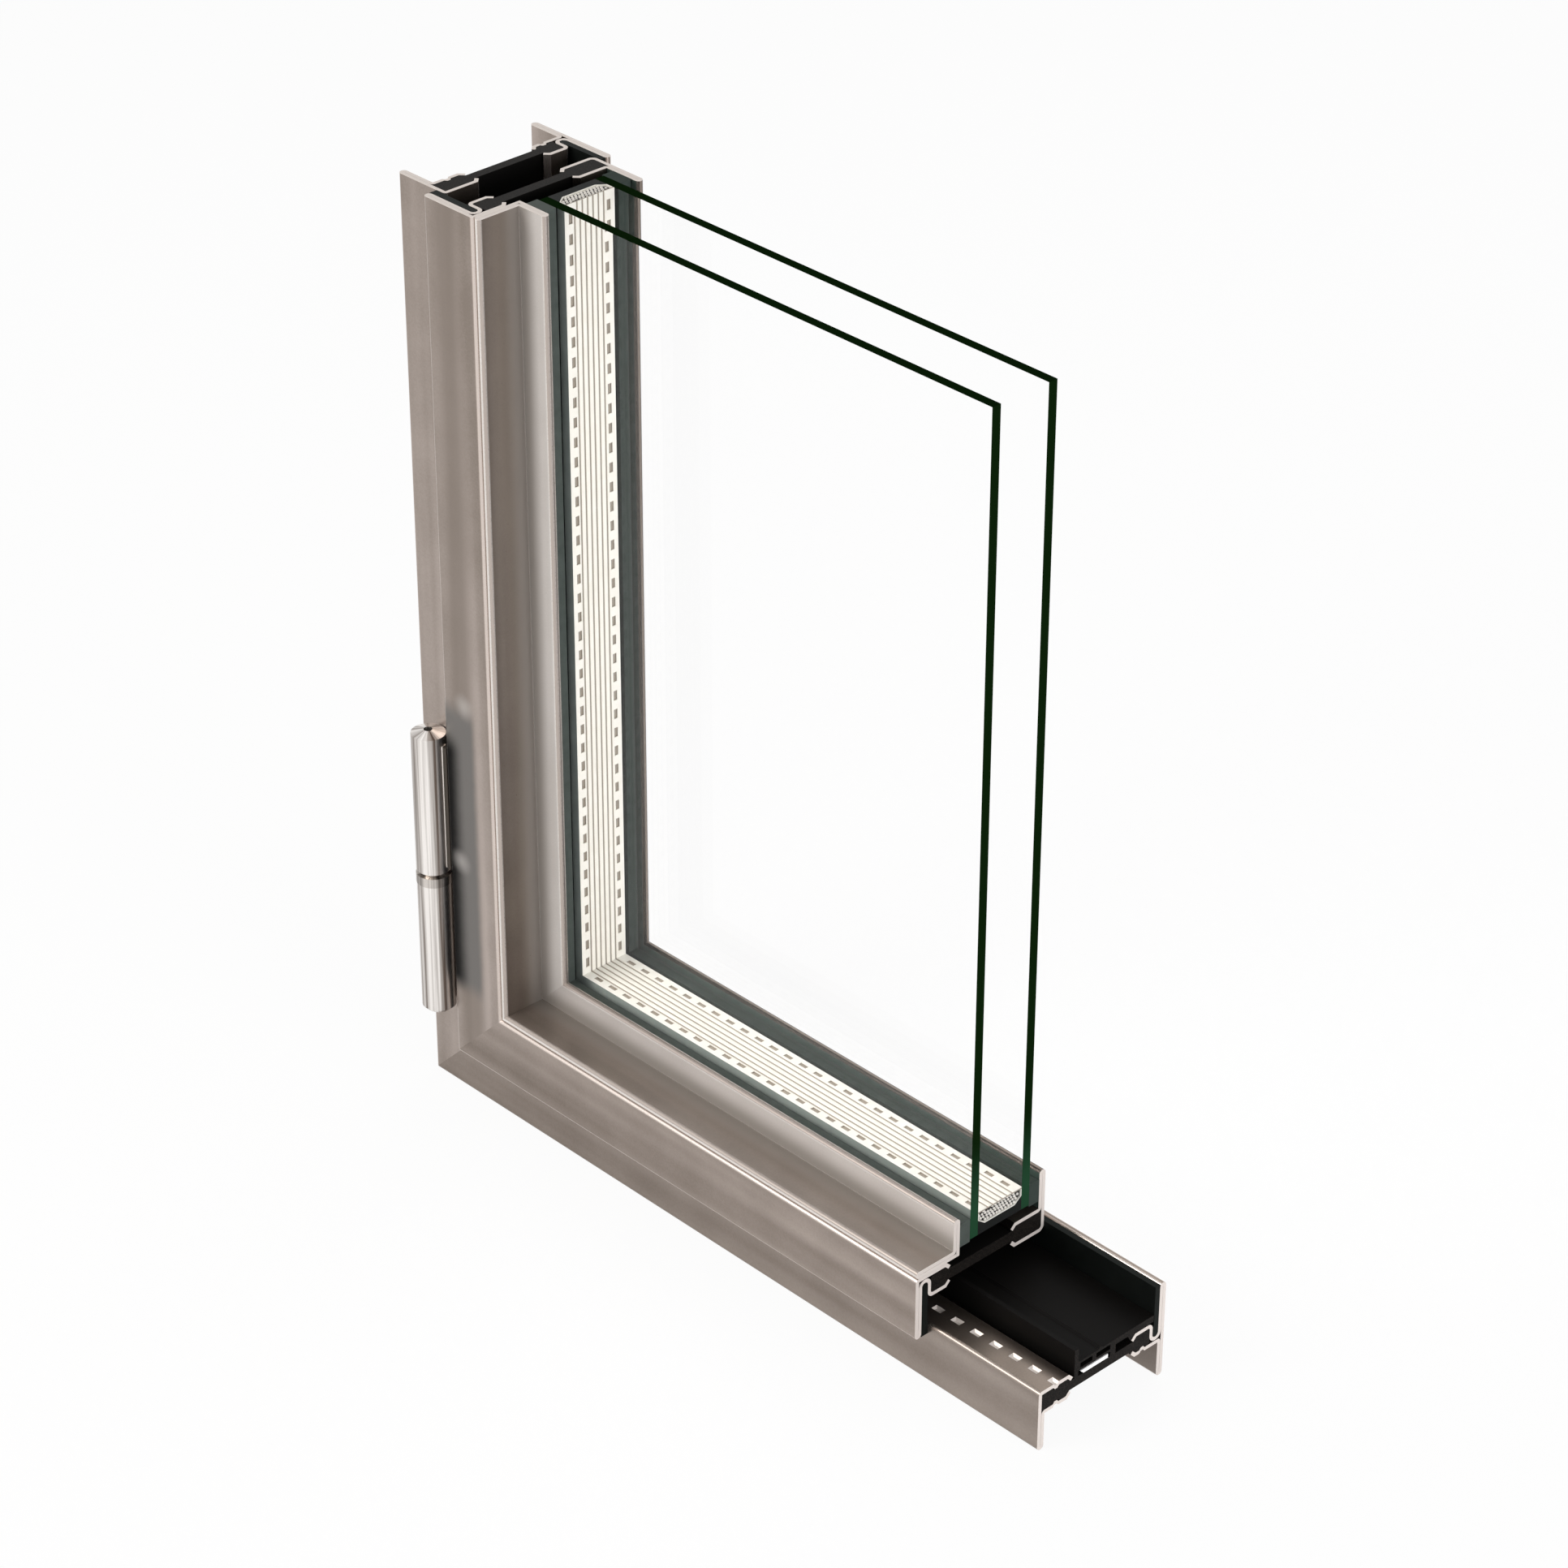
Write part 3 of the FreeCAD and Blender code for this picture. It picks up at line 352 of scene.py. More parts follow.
@dataclass(frozen=True)
class SatinSteel:
    """Cold-rolled steel sheet, folded between rolls and left with a satin mill finish.

    The sheet reflects softly and its tone drifts in bands along the profile, where the rolls bore
    harder or lighter. Its front and back faces get painted light, and the legs between them get
    painted shade. The outside of its bends gets a painted highlight, paler than the flats, and the
    root of a fold gets painted shade. The sawn end is bare grain, pale and matt, and the stitch
    dimples get a painted highlight. The sash's flange gets a painted dark reflection down its
    middle, and painted shade and dark reflection of the hinge beside it. The sheet's fine tooth is
    drawn coarser than real, or it wouldn't show.
    """

    name: str
    run: Run
    cut: float
    tone: SheetTone
    cut_face: str = "#DFD6CF"
    # Painted highlight in the stitch dimples
    dimple_highlight: str = "#DDD5CE"
    root_fold: tuple[float, float] | None = None
    root_reach: tuple[float, float] = (1.5, 9.5)
    crease_from: float = 0.923
    # Painted dark reflection: a darker stripe down the middle of the flange
    dull_stripe: float | None = None
    reflection_stripe_reach: tuple[float, float] = (2.0, 9.5)
    reflection_stripe_share: float = 0.7
    dull: str = "#857A71"
    dimple_rows: tuple[tuple[float, float], ...] = ()
    dimple_size: tuple[float, float] = (2.9, 0.95)
    # Painted shade and dark reflection of the hinge on the flange beside it
    weld: HingeShade | None = None
    roughness: tuple[float, float] = (0.25, 0.36)
    bend_roughness: float = 0.24
    cut_roughness: float = 0.6
    cut_metallic: float = 0.2
    band: float = 13.0
    band_stretch: float = 0.03
    band_relief: tuple[float, float] = (0.4, 0.6)
    cloud: float = 30.0
    cloud_share: float = 0.25
    tooth: float = 0.7
    tooth_share: float = 0.12
    tooth_relief: tuple[float, float] = (0.015, 0.5)
    drift_reach: tuple[float, float] = (0.34, 0.64)
    bend_normals: tuple[float, float] = (0.995, 0.90)

    def on_bend(self, tree: Tree, normal: Socket) -> Socket:
        """1 on a fold, where the sheet faces along no axis."""
        parts = parts_of(tree, vector_maths(tree, "ABSOLUTE", normal))
        most = maths(tree, "MAXIMUM", maths(tree, "MAXIMUM", parts["X"], parts["Y"]), parts["Z"])
        return fade(tree, most, *self.bend_normals, step="LINEAR")

    def near_root(self, tree: Tree, place: Socket) -> Socket:
        """1 at the root of the fold whose depth and rise are given, fading out beside it."""
        depth, rise = self.root_fold
        middle, section = (rise, depth, 0.0), (1.0, 1.0, 0.0)
        if self.run is Run.SILL:
            middle, section = (0.0, depth, rise), (0.0, 1.0, 1.0)
        flat = vector_maths(tree, "MULTIPLY", place, section)
        near, far = self.root_reach
        away = vector_maths(tree, "DISTANCE", flat, middle, output="Value")
        return fade(tree, away, metres(far), metres(near))

    def in_reflection_stripe(self, tree: Tree, place: Socket) -> Socket:
        """Marks the middle of the flange, where a painted dark reflection makes it darker than its margins.
        """
        away = maths(tree, "ABSOLUTE", maths(tree, "SUBTRACT", parts_of(tree, place)["X"], self.dull_stripe))
        near, far = self.reflection_stripe_reach
        return spread(tree, fade(tree, away, metres(far), metres(near)), 0.0, self.reflection_stripe_share)

    def in_dimple(self, tree: Tree, place: Socket, row: tuple[float, float]) -> Socket:
        """1 in the dimples pressed into a leg, in a row whose depth and rise are given in metres."""
        parts = parts_of(tree, place)
        middles = zip((parts["Y"], parts[self.run.across]), row, self.dimple_size)
        return product(
            tree, *(maths(tree, "COMPARE", part, middle, metres(size) / 2) for part, middle, size in middles)
        )

    def build(self) -> bpy.types.Material:
        """Builds the material."""
        material, tree = new_material(self.name)
        coords = add_node(tree, "ShaderNodeTexCoord").outputs
        place = coords["Object"]
        stretch = [self.band_stretch if axis == self.run.along else 1.0 for axis in "XYZ"]
        band = noise(tree, vector_maths(tree, "MULTIPLY", place, stretch), self.band)
        cloud, tooth = noise(tree, place, self.cloud, detail=3.0), noise(tree, place, self.tooth)
        drift = between(tree, self.tooth_share, between(tree, self.cloud_share, band, cloud), tooth)
        tone = fade(tree, drift, *self.drift_reach, step="LINEAR")
        at_cut = sawn_end(tree, place, self.run, self.cut)
        on_bend = self.on_bend(tree, coords["Normal"])
        # Painted light on the front and back faces, painted shade on the sides, painted shade near a fold's
        # root
        skin, lit_face = mixed(tree, tone, *self.tone.skin), mixed(tree, tone, *self.tone.lit_face)
        if self.root_fold:
            in_root = self.near_root(tree, place)
            skin = painted(tree, in_root, skin, self.tone.root_shade_on_side)
            lit_face = painted(tree, in_root, lit_face, self.tone.root_shade_on_face)
        # Painted dark reflection down the middle of the flange
        if self.dull_stripe is not None:
            lit_face = painted(tree, self.in_reflection_stripe(tree, place), lit_face, self.dull)
        facing = parts_of(tree, coords["Normal"])["Y"]
        colour = layered(tree, maths(tree, "ABSOLUTE", facing), skin, lit_face)
        rough = spread(tree, tooth, *self.roughness)
        bare, sheen = at_cut, self.tone.sheen
        # Painted shade in dark green-grey on the side that faces the glass
        if self.tone.glass_side_shade:
            toward_glass = maths(tree, "LESS_THAN", facing, self.tone.glass_side_facing)
            colour = painted(tree, toward_glass, colour, self.tone.glass_side_shade)
            bare = maths(tree, "MAXIMUM", bare, toward_glass)
            rough = between(tree, toward_glass, rough, self.tone.glass_side_roughness)
            sheen = spread(tree, toward_glass, self.tone.sheen, self.tone.glass_side_sheen)
        # Painted highlight on the outside of the bends, and painted shade in the crease at a fold's root
        colour = painted(tree, on_bend, colour, self.tone.bend)
        if self.root_fold:
            crease = product(tree, on_bend, fade(tree, in_root, self.crease_from, 1.0, step="LINEAR"))
            colour = painted(tree, crease, colour, self.tone.root_shade_on_side)
        # Painted highlight in the stitch dimples
        for row in self.dimple_rows:
            dimple_highlight = self.in_dimple(tree, place, row)
            colour = painted(tree, dimple_highlight, colour, self.dimple_highlight)
            bare = maths(tree, "MAXIMUM", bare, dimple_highlight)
        # Painted shade and dark reflection of the hinge
        if self.weld:
            colour = self.weld.over(tree, place, colour)
        rough = between(tree, on_bend, rough, self.bend_roughness)
        rolled = bumped(tree, band, self.band_relief)
        show(tree, add_node(
            tree, "ShaderNodeBsdfPrincipled",
            {
                "Base Color": painted(tree, at_cut, colour, self.cut_face),
                "Metallic": spread(tree, bare, self.tone.metallic, self.cut_metallic),
                "Roughness": between(tree, at_cut, rough, self.cut_roughness),
                "Specular IOR Level": sheen,
                "Normal": bumped(tree, tooth, self.tooth_relief, rolled),
            },
        ))
        return material


@dataclass(frozen=True)
class TurnedSteel:
    """Bright drawn steel bar, turned at its ends and polished on the buffing wheel.

    Its colour carries painted reflections: streaks along the barrel, dark and light side by side,
    placed so that a light one falls where the barrel's highlight shows. The buffing leaves fine rings
    round it. On the turned cone the painted streaks run on as wedges towards its middle, as painted
    highlights. The leaf and the pad behind the barrels are painted dark, as painted shade in the gap
    behind the barrels.
    """

    axis: tuple[float, float]
    radius: float
    name: str = "turned_steel"
    # Painted reflections: the light streaks and the dark ones
    bright_reflection: str = "#FCF8F4"
    dull: str = "#6F635B"
    # Painted shade on the leaf and the pad in the gap behind the barrels
    leaf_shade: str = "#4A443E"
    leaf_roughness: float = 0.75
    roughness: tuple[float, float] = (0.26, 0.38)
    sheen: float = 0.2
    streak: float = 3.4
    streak_stretch: float = 0.012
    # Shifts the streaks so that a light painted streak falls where the barrel's highlight shows
    streak_slice: float = 26.86
    streak_reach: tuple[float, float] = (0.36, 0.60)
    ring: float = 0.5
    ring_stretch: float = 0.02
    ring_relief: tuple[float, float] = (0.004, 0.4)

    def build(self) -> bpy.types.Material:
        """Builds the material."""
        material, tree = new_material(self.name)
        coords = add_node(tree, "ShaderNodeTexCoord").outputs["Object"]
        place = vector_maths(tree, "SUBTRACT", coords, (*self.axis, 0.0))
        level = vector_maths(tree, "MULTIPLY", place, (1.0, 1.0, 0.0))
        height = vector_maths(tree, "MULTIPLY", place, (0.0, 0.0, 1.0))
        outward = vector_maths(tree, "NORMALIZE", level)
        skin = vector_maths(tree, "MULTIPLY_ADD", outward, (self.radius,) * 3, height)
        drawn = vector_maths(
            tree, "MULTIPLY_ADD", skin, (1.0, 1.0, self.streak_stretch), (0.0, 0.0, metres(self.streak_slice))
        )
        turned = vector_maths(tree, "MULTIPLY", place, (self.ring_stretch, self.ring_stretch, 1.0))
        streaks = noise(tree, drawn, self.streak, detail=3.0, roughness=0.6)
        rings = noise(tree, turned, self.ring)
        sharp = fade(tree, streaks, *self.streak_reach, step="LINEAR")
        reach = vector_maths(tree, "LENGTH", level, output="Value")
        # Beyond the barrel's radius lie the leaf and the pad, which get painted shade
        welded = maths(tree, "GREATER_THAN", reach, self.radius)
        polish = spread(tree, rings, *self.roughness)
        show(tree, add_node(
            tree, "ShaderNodeBsdfPrincipled",
            {
                "Base Color": painted(tree, welded, mixed(tree, sharp, self.dull, self.bright_reflection), self.leaf_shade),
                "Metallic": spread(tree, welded, 1.0, 0.0),
                "Roughness": between(tree, welded, polish, self.leaf_roughness),
                "Specular IOR Level": self.sheen,
                "Normal": bumped(tree, rings, self.ring_relief),
            },
        ))
        return material


@dataclass(frozen=True)
class PatchyFinish:
    """Two close tones of one material in soft patches, with a fine relief where it has one.

    The patch and the grain are widths in millimetres. Without a grain, the patches make the relief.
    """

    name: str
    tones: tuple[str, str]
    roughness: tuple[float, float]
    patch: float
    detail: float = 2.0
    ior: float = 1.5
    sheen: float = 0.5
    sheen_tint: str = "#FFFFFF"
    grain: float | None = None
    relief: tuple[float, float] | None = None

    def pattern(self, tree: Tree, place: Socket) -> Socket:
        """The patches, from 0 for the first tone to 1 for the second."""
        return noise(tree, place, self.patch, self.detail)

    def colour(self, tree: Tree, place: Socket, patches: Socket) -> Socket:
        """The colour of a point, from its place and the patch that it lies in."""
        return mixed(tree, patches, *self.tones)

    def build(self) -> bpy.types.Material:
        """Builds the material."""
        material, tree = new_material(self.name)
        place = add_node(tree, "ShaderNodeTexCoord").outputs["Object"]
        patches = self.pattern(tree, place)
        inputs = {
            "Base Color": self.colour(tree, place, patches),
            "Roughness": spread(tree, patches, *self.roughness),
            "IOR": self.ior,
            "Specular IOR Level": self.sheen,
            "Specular Tint": linear(self.sheen_tint),
        }
        if self.relief:
            height = noise(tree, place, self.grain) if self.grain else patches
            inputs["Normal"] = bumped(tree, height, self.relief)
        show(tree, add_node(tree, "ShaderNodeBsdfPrincipled", inputs))
        return material


@dataclass(frozen=True, kw_only=True)
class FilledPolyamide(PatchyFinish):
    """Extruded polyamide 66 with a quarter of glass fibre, black.

    The fibres lie along the profile and make its sides slightly silky. Where it is cut, their ends
    show as fine grey specks.
    """

    run: Run
    cut: float
    tones: tuple[str, str] = ("#0D0C0B", "#332E2A")
    roughness: tuple[float, float] = (0.45, 0.62)
    patch: float = 0.35
    ior: float = 1.53
    sheen: float = 0.06
    relief: tuple[float, float] = (0.02, 0.5)
    speck_reach: tuple[float, float] = (0.45, 0.75)
    side_share: float = 0.06

    def colour(self, tree: Tree, place: Socket, patches: Socket) -> Socket:
        """Resin with the fibres' ends in it, faint except at the cut."""
        specks = fade(tree, patches, *self.speck_reach, step="LINEAR")
        shown = spread(tree, sawn_end(tree, place, self.run, self.cut), self.side_share, 1.0)
        return mixed(tree, product(tree, specks, shown), *self.tones)


@dataclass(frozen=True, kw_only=True)
class GasketRubber(PatchyFinish):
    """Extruded EPDM rubber, black, with a faint green-grey bloom that softens its highlights."""

    name: str = "epdm_rubber"
    tones: tuple[str, str] = ("#0B0C0B", "#131514")
    roughness: tuple[float, float] = (0.50, 0.66)
    patch: float = 4.0
    detail: float = 3.0
    ior: float = 1.52
    sheen: float = 0.10
    sheen_tint: str = "#D9F2E6"
    grain: float = 0.4
    relief: tuple[float, float] = (0.003, 0.4)


@dataclass(frozen=True, kw_only=True)
class EdgeSealant(PatchyFinish):
    """Polysulphide sealant trowelled between the panes: black, dense and slightly lumpy."""

    name: str = "polysulphide_sealant"
    tones: tuple[str, str] = ("#111312", "#1B1D1C")
    roughness: tuple[float, float] = (0.55, 0.75)
    patch: float = 1.2
    detail: float = 3.0
    ior: float = 1.55
    sheen: float = 0.12
    relief: tuple[float, float] = (0.03, 0.5)


@dataclass(frozen=True, kw_only=True)
class ButylSeal(PatchyFinish):
    """Butyl that bonds the sides of the spacer to the panes: a smooth grey behind the glass."""

    name: str = "butyl_seal"
    tones: tuple[str, str] = ("#7F8783", "#8F9793")
    roughness: tuple[float, float] = (0.45, 0.6)
    patch: float = 6.0
    sheen: float = 0.2


@dataclass(frozen=True, kw_only=True)
class SieveBeads(PatchyFinish):
    """Molecular sieve: chalky white clay beads, about a millimetre across, dusty and without gloss."""

    name: str = "molecular_sieve"
    tones: tuple[str, str] = ("#E2DCD2", "#FBF9F4")
    roughness: tuple[float, float] = (0.75, 0.95)
    patch: float = 0.5
    detail: float = 3.0


@dataclass(frozen=True, kw_only=True)
class SpacerPlastic(PatchyFinish):
    """Warm-edge spacer: extruded styrene-acrylonitrile, cream white, with a soft sheen.

    The bottoms of its slots and grooves get painted shade.
    """

    run: Run
    face: float
    roughness: tuple[float, float] = (0.34, 0.46)
    patch: float = 5.0
    ior: float = 1.57
    sheen: float = 0.25
    # Painted shade at the bottoms of the slots and grooves
    slot: str = "#A0978A"
    shade_reach: tuple[float, float] = (0.3, 0.9)

    def colour(self, tree: Tree, place: Socket, patches: Socket) -> Socket:
        """Cream plastic, with painted shade between two depths below its face."""
        rise = parts_of(tree, place)[self.run.across]
        top, bottom = (self.face - metres(depth) for depth in self.shade_reach)
        sunk = product(tree, maths(tree, "LESS_THAN", rise, top), maths(tree, "GREATER_THAN", rise, bottom))
        return painted(tree, sunk, mixed(tree, patches, *self.tones), self.slot)


@dataclass(frozen=True, kw_only=True)
class FoamStrip(PatchyFinish):
    """Closed-cell polyethylene foam, white, with a skin of fine bubbles."""

    name: str = "polyethylene_foam"
    tones: tuple[str, str] = ("#FFFFFF", "#F0EFEB")
    roughness: tuple[float, float] = (0.8, 0.8)
    patch: float = 0.5
    relief: tuple[float, float] = (0.05, 0.5)

    def pattern(self, tree: Tree, place: Socket) -> Socket:
        """Bubbles, from 0 in their middles."""
        cells = {"Vector": place, "Scale": per_metre(self.patch)}
        return add_node(tree, "ShaderNodeTexVoronoi", cells).outputs["Distance"]


@dataclass(frozen=True)
class FloatGlass:
    """Clear soda-lime float glass, 4 mm, with ground edges, which are matt.

    The pane itself is nearly invisible and, with its coating against reflections, mirrors little.
    Seen from the edge, light has come through a hand's width of glass, and its iron leaves only a
    deep bottle green. Towards the white spacer the edges are painted paler, as painted light
    from the spacer.
    """

    name: str = "float_glass"
    pane: str = "#FFFFFF"
    pane_ior: float = 1.16
    face_normal: float = 0.5
    edge: str = "#0C1D09"
    # Painted light on the edges near the white spacer
    edge_lit: str = "#23452F"
    edge_ior: float = 1.52
    edge_roughness: tuple[float, float] = (0.16, 0.30)
    edge_sheen: float = 0.0
    lit_reach: tuple[float, float] = (96.0, 60.0)
    streak: float = 3.0

    def build(self) -> bpy.types.Material:
        """Builds the material: clear glass on the two faces, and a deep green on the four edges."""
        material, tree = new_material(self.name)
        coords = add_node(tree, "ShaderNodeTexCoord").outputs
        facing = maths(tree, "ABSOLUTE", parts_of(tree, coords["Normal"])["Y"])
        on_face = maths(tree, "GREATER_THAN", facing, self.face_normal)
        # Painted light: the edges are painted paler towards the white spacer
        lit = fade(tree, parts_of(tree, coords["Object"])["Z"], *(metres(rise) for rise in self.lit_reach))
        edge = add_node(
            tree, "ShaderNodeBsdfPrincipled",
            {
                "Base Color": mixed(tree, lit, self.edge, self.edge_lit),
                "Roughness": spread(tree, noise(tree, coords["Object"], self.streak), *self.edge_roughness),
                "IOR": self.edge_ior,
                "Specular IOR Level": self.edge_sheen,
            },
        )
        clear = linear(self.pane)
        pane = add_node(
            tree, "ShaderNodeBsdfPrincipled",
            {"Base Color": clear, "Roughness": 0.0, "IOR": self.pane_ior, "Transmission Weight": 1.0},
        )
        lamps = add_node(tree, "ShaderNodeBsdfTransparent", {"Color": clear})
        ray = add_node(tree, "ShaderNodeLightPath").outputs["Is Shadow Ray"]
        through = add_node(tree, "ShaderNodeMixShader", {0: ray, 1: pane.outputs[0], 2: lamps.outputs[0]})
        show(tree, add_node(
            tree, "ShaderNodeMixShader", {0: on_face, 1: edge.outputs[0], 2: through.outputs[0]}
        ))
        return material


@dataclass(frozen=True)
class Corner:
    """The outer corner of the frame, from which depth, rise and length are measured."""

    x: float
    y: float

    @classmethod
    def of_frame(cls) -> "Corner":
        """Reads the corner from the front shell of the jamb."""
        low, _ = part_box("frame_front_shell_jamb")
        return cls(low.x, low.y)

    def point(self, run: Run, depth: float, rise: float, along: float) -> Vector:
        """Gives a point of the profile in the row frame.

        Args:
            run: jamb or sill.
            depth: metres behind the front face of the frame.
            rise: metres in from the tips of the frame's flanges.
            along: metres along the profile from the outer corner.

        Returns:
            The point in metres.
        """
        if run is Run.JAMB:
            return Vector((self.x + rise, self.y + depth, along))
        return Vector((self.x + along, self.y + depth, rise))


def finished_piece(
    name: str, shape: bmesh.types.BMesh, material: bpy.types.Material
) -> bpy.types.Object:
    """Turns a mesh into a piece of the object, with its finish, on the window's body.

    Args:
        name: the piece's name.
        shape: the mesh, in metres in the row frame. It is freed.
        material: the finish.

    Returns:
        The new object.
    """
    bmesh.ops.recalc_face_normals(shape, faces=shape.faces)
    mesh = bpy.data.meshes.new(name)
    shape.to_mesh(mesh)
    shape.free()
    mesh.materials.append(material)
    piece = bpy.data.objects.new(name, mesh)
    bpy.context.scene.collection.objects.link(piece)
    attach(piece, BODY)
    return piece


Points = list[tuple[float, float]]
Verts = Sequence[bmesh.types.BMVert]


@dataclass
class EdgeSpacer:
    """The hollow spacer between the panes, with grooves and slots in its face, and its beads.

    The beads are drawn half as coarse again as real ones, which would blur into a plain grey.
    """

    corner: Corner
    run: Run
    slot_pitch: float = 8.0
    slot_length: float = 4.1
    slot_width: float = 1.8
    slot_sink: float = 0.6
    slot_inset: float = 2.8
    last_slot: float = 3.6
    grooves: int = 6
    groove_pitch: float = 2.5
    groove_width: float = 1.5
    groove_sink: float = 0.52
    groove_steps: int = 6
    shoulder: float = 3.9
    slant: float = 3.45
    wall: float = 0.45
    roof: float = 0.8
    bed_gap: float = 0.05
    bed_depth: float = 0.7
    bead_radius: float = 0.64
    bead_pitch: float = 1.5
    bead_nesting: float = 0.9
    bead_sink: float = 0.1
    bead_stray: float = 0.08
    bead_least: float = 0.82
    bead_give: float = 0.8
    seed: int = 7

    def __post_init__(self) -> None:
        """Reads the spacer's outer section and its cut end from the frame."""
        low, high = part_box(f"spacer_{self.run.value}")
        self.front = low.y - self.corner.y
        self.back = high.y - self.corner.y
        if self.run is Run.JAMB:
            self.foot, self.face, self.end = low.x - self.corner.x, high.x - self.corner.x, high.z
        else:
            self.foot, self.face, self.end = low.z, high.z, high.x - self.corner.x
        self.low = self.face - metres(self.shoulder)

    def point(self, depth: float, rise: float, along: float) -> Vector:
        """Gives a point of this run in the row frame."""
        return self.corner.point(self.run, depth, rise, along)

    def face_line(self) -> Points:
        """Depth and rise along the face between the panes, from front to back."""
        half = metres(self.slot_width) / 2
        rows = (self.front + metres(self.slot_inset), self.back - metres(self.slot_inset))
        first, second, third, fourth = (row + side for row in rows for side in (-half, half))
        line = [(depth, self.face) for depth in (self.front, first, second)]
        middle = (self.front + self.back) / 2
        for groove in range(self.grooves):
            centre = middle + metres(self.groove_pitch) * (groove - (self.grooves - 1) / 2)
            for step in range(self.groove_steps + 1):
                share = step / self.groove_steps
                sink = metres(self.groove_sink) * (1 - math.cos(2 * math.pi * share)) / 2
                line.append((centre + metres(self.groove_width) * (share - 0.5), self.face - sink))
        return line + [(depth, self.face) for depth in (third, fourth, self.back)]

    def outer_line(self) -> Points:
        """Depth and rise round the whole outside, starting with the face."""
        return self.face_line() + [
            (self.back, self.low),
            (self.back - metres(self.slant), self.foot),
            (self.front + metres(self.slant), self.foot),
            (self.front, self.low),
        ]

    def inner_line(self, gap: float = 0.0) -> Points:
        """Depth and rise round the hollow, or round what fills it with a gap in millimetres."""
        wall, roof = metres(self.wall + gap), metres(self.roof + gap)
        return [
            (self.front + wall, self.face - roof),
            (self.back - wall, self.face - roof),
            (self.back - wall, self.low),
            (self.back - metres(self.slant) - wall / 2, self.foot + wall),
            (self.front + metres(self.slant) + wall / 2, self.foot + wall),
            (self.front + wall, self.low),
        ]

    def stations(self) -> list[tuple[float, bool]]:
        """Lengths at which the face is divided, each with whether a slot starts there."""
        length, pitch = metres(self.slot_length), metres(self.slot_pitch)
        last = self.end - metres(self.last_slot) - length
        places = []
        for number in range(int((last - self.face) / pitch), -1, -1):
            start = last - number * pitch
            places += [(start, True), (start + length, False)]
        return places

    def sleeve(self, shape: bmesh.types.BMesh, line: Points, end: float) -> tuple[Verts, Verts]:
        """Makes the plain walls that a closed line gives, from the mitre to a length.

        Args:
            shape: the mesh that gets them.
            line: depth and rise round the section.
            end: where they stop.

        Returns:
            Their points at the mitre and at the end.
        """
        starts = [shape.verts.new(self.point(depth, rise, rise)) for depth, rise in line]
        ends = [shape.verts.new(self.point(depth, rise, end)) for depth, rise in line]
        for edge in range(len(line)):
            following = (edge + 1) % len(line)
            shape.faces.new([starts[edge], ends[edge], ends[following], starts[following]])
        return starts, ends

    def tube(self) -> bmesh.types.BMesh:
        """Makes the grooved and slotted tube, mitred at the corner and open at the cut."""
        shape = bmesh.new()
        outer = self.outer_line()
        last_of_face = len(self.face_line()) - 1
        slot_edges, sides = {1, last_of_face - 2}, {last_of_face, len(outer) - 1}
        stations = [(None, False), *self.stations(), (self.end, False)]
        rings = []
        for along, _ in stations:
            rings.append([
                shape.verts.new(self.point(depth, rise, rise if along is None else along))
                for depth, rise in outer
            ])
        for (_, slotted), before, after in zip(stations, rings, rings[1:]):
            for edge in range(len(outer)):
                following = (edge + 1) % len(outer)
                corners = [before[edge], before[following], after[following], after[edge]]
                if slotted and edge in slot_edges:
                    self.sink_slot(shape, corners)
                else:
                    shape.faces.new(corners).material_index = int(edge in sides)
        starts, ends = self.sleeve(shape, self.inner_line(), self.end)
        self.cap(shape, rings[0], starts)
        self.cap(shape, rings[-1], ends)
        return shape

    def cap(self, shape: bmesh.types.BMesh, outside: Verts, inside: Verts) -> None:
        """Closes the wall of the tube at one end and leaves its hollow open.

        Args:
            shape: the mesh that gets it.
            outside: the outer line's points, starting with the face.
            inside: the hollow's six points, in the same turn.
        """
        face = len(outside) - len(inside) + 1
        shape.faces.new([*outside[:face + 1], inside[1], inside[0]])
        for step in range(1, len(inside)):
            outer = face + step - 1
            around = (outer + 1) % len(outside)
            inner = (step + 1) % len(inside)
            shape.faces.new([outside[outer], outside[around], inside[inner], inside[step]])

    def sink_slot(self, shape: bmesh.types.BMesh, rim: Verts) -> None:
        """Makes the sides and the bottom of one slot from the four corners of its opening."""
        down = self.point(0, -metres(self.slot_sink), 0) - self.point(0, 0, 0)
        bottom = [shape.verts.new(vert.co + down) for vert in rim]
        shape.faces.new(bottom)
        for edge in range(4):
            following = (edge + 1) % 4
            shape.faces.new([rim[edge], rim[following], bottom[following], bottom[edge]])

    def beads(self) -> bmesh.types.BMesh:
        """Makes the bed of beads that shows at the cut, on a plain core behind it."""
        shape = bmesh.new()
        for face in self.sleeve(shape, self.inner_line(self.bed_gap), self.end - metres(self.bed_depth)):
            shape.faces.new(face)
        for face in shape.faces:
            face.material_index = 1
        chance = random.Random(self.seed)
        pitch, radius, wall = metres(self.bead_pitch), metres(self.bead_radius), metres(self.wall)
        for row in range(int((self.face - self.foot) / pitch) + 1):
            for column in range(int((self.back - self.front) / pitch) + 1):
                depth = self.front + wall + radius + pitch * (column + 0.5 * (row % 2))
                rise = self.foot + wall + radius + pitch * row * self.bead_nesting
                depth += pitch * chance.uniform(-self.bead_stray, self.bead_stray)
                rise += pitch * chance.uniform(-self.bead_stray, self.bead_stray)
                if not self.in_hollow(depth, rise, radius * self.bead_give):
                    continue
                along = self.end - radius - pitch * chance.uniform(0.0, self.bead_sink)
                size = radius * chance.uniform(self.bead_least, 1.0)
                place = Matrix.Translation(self.point(depth, rise, along))
                bmesh.ops.create_icosphere(shape, subdivisions=2, radius=size, matrix=place)
        return shape

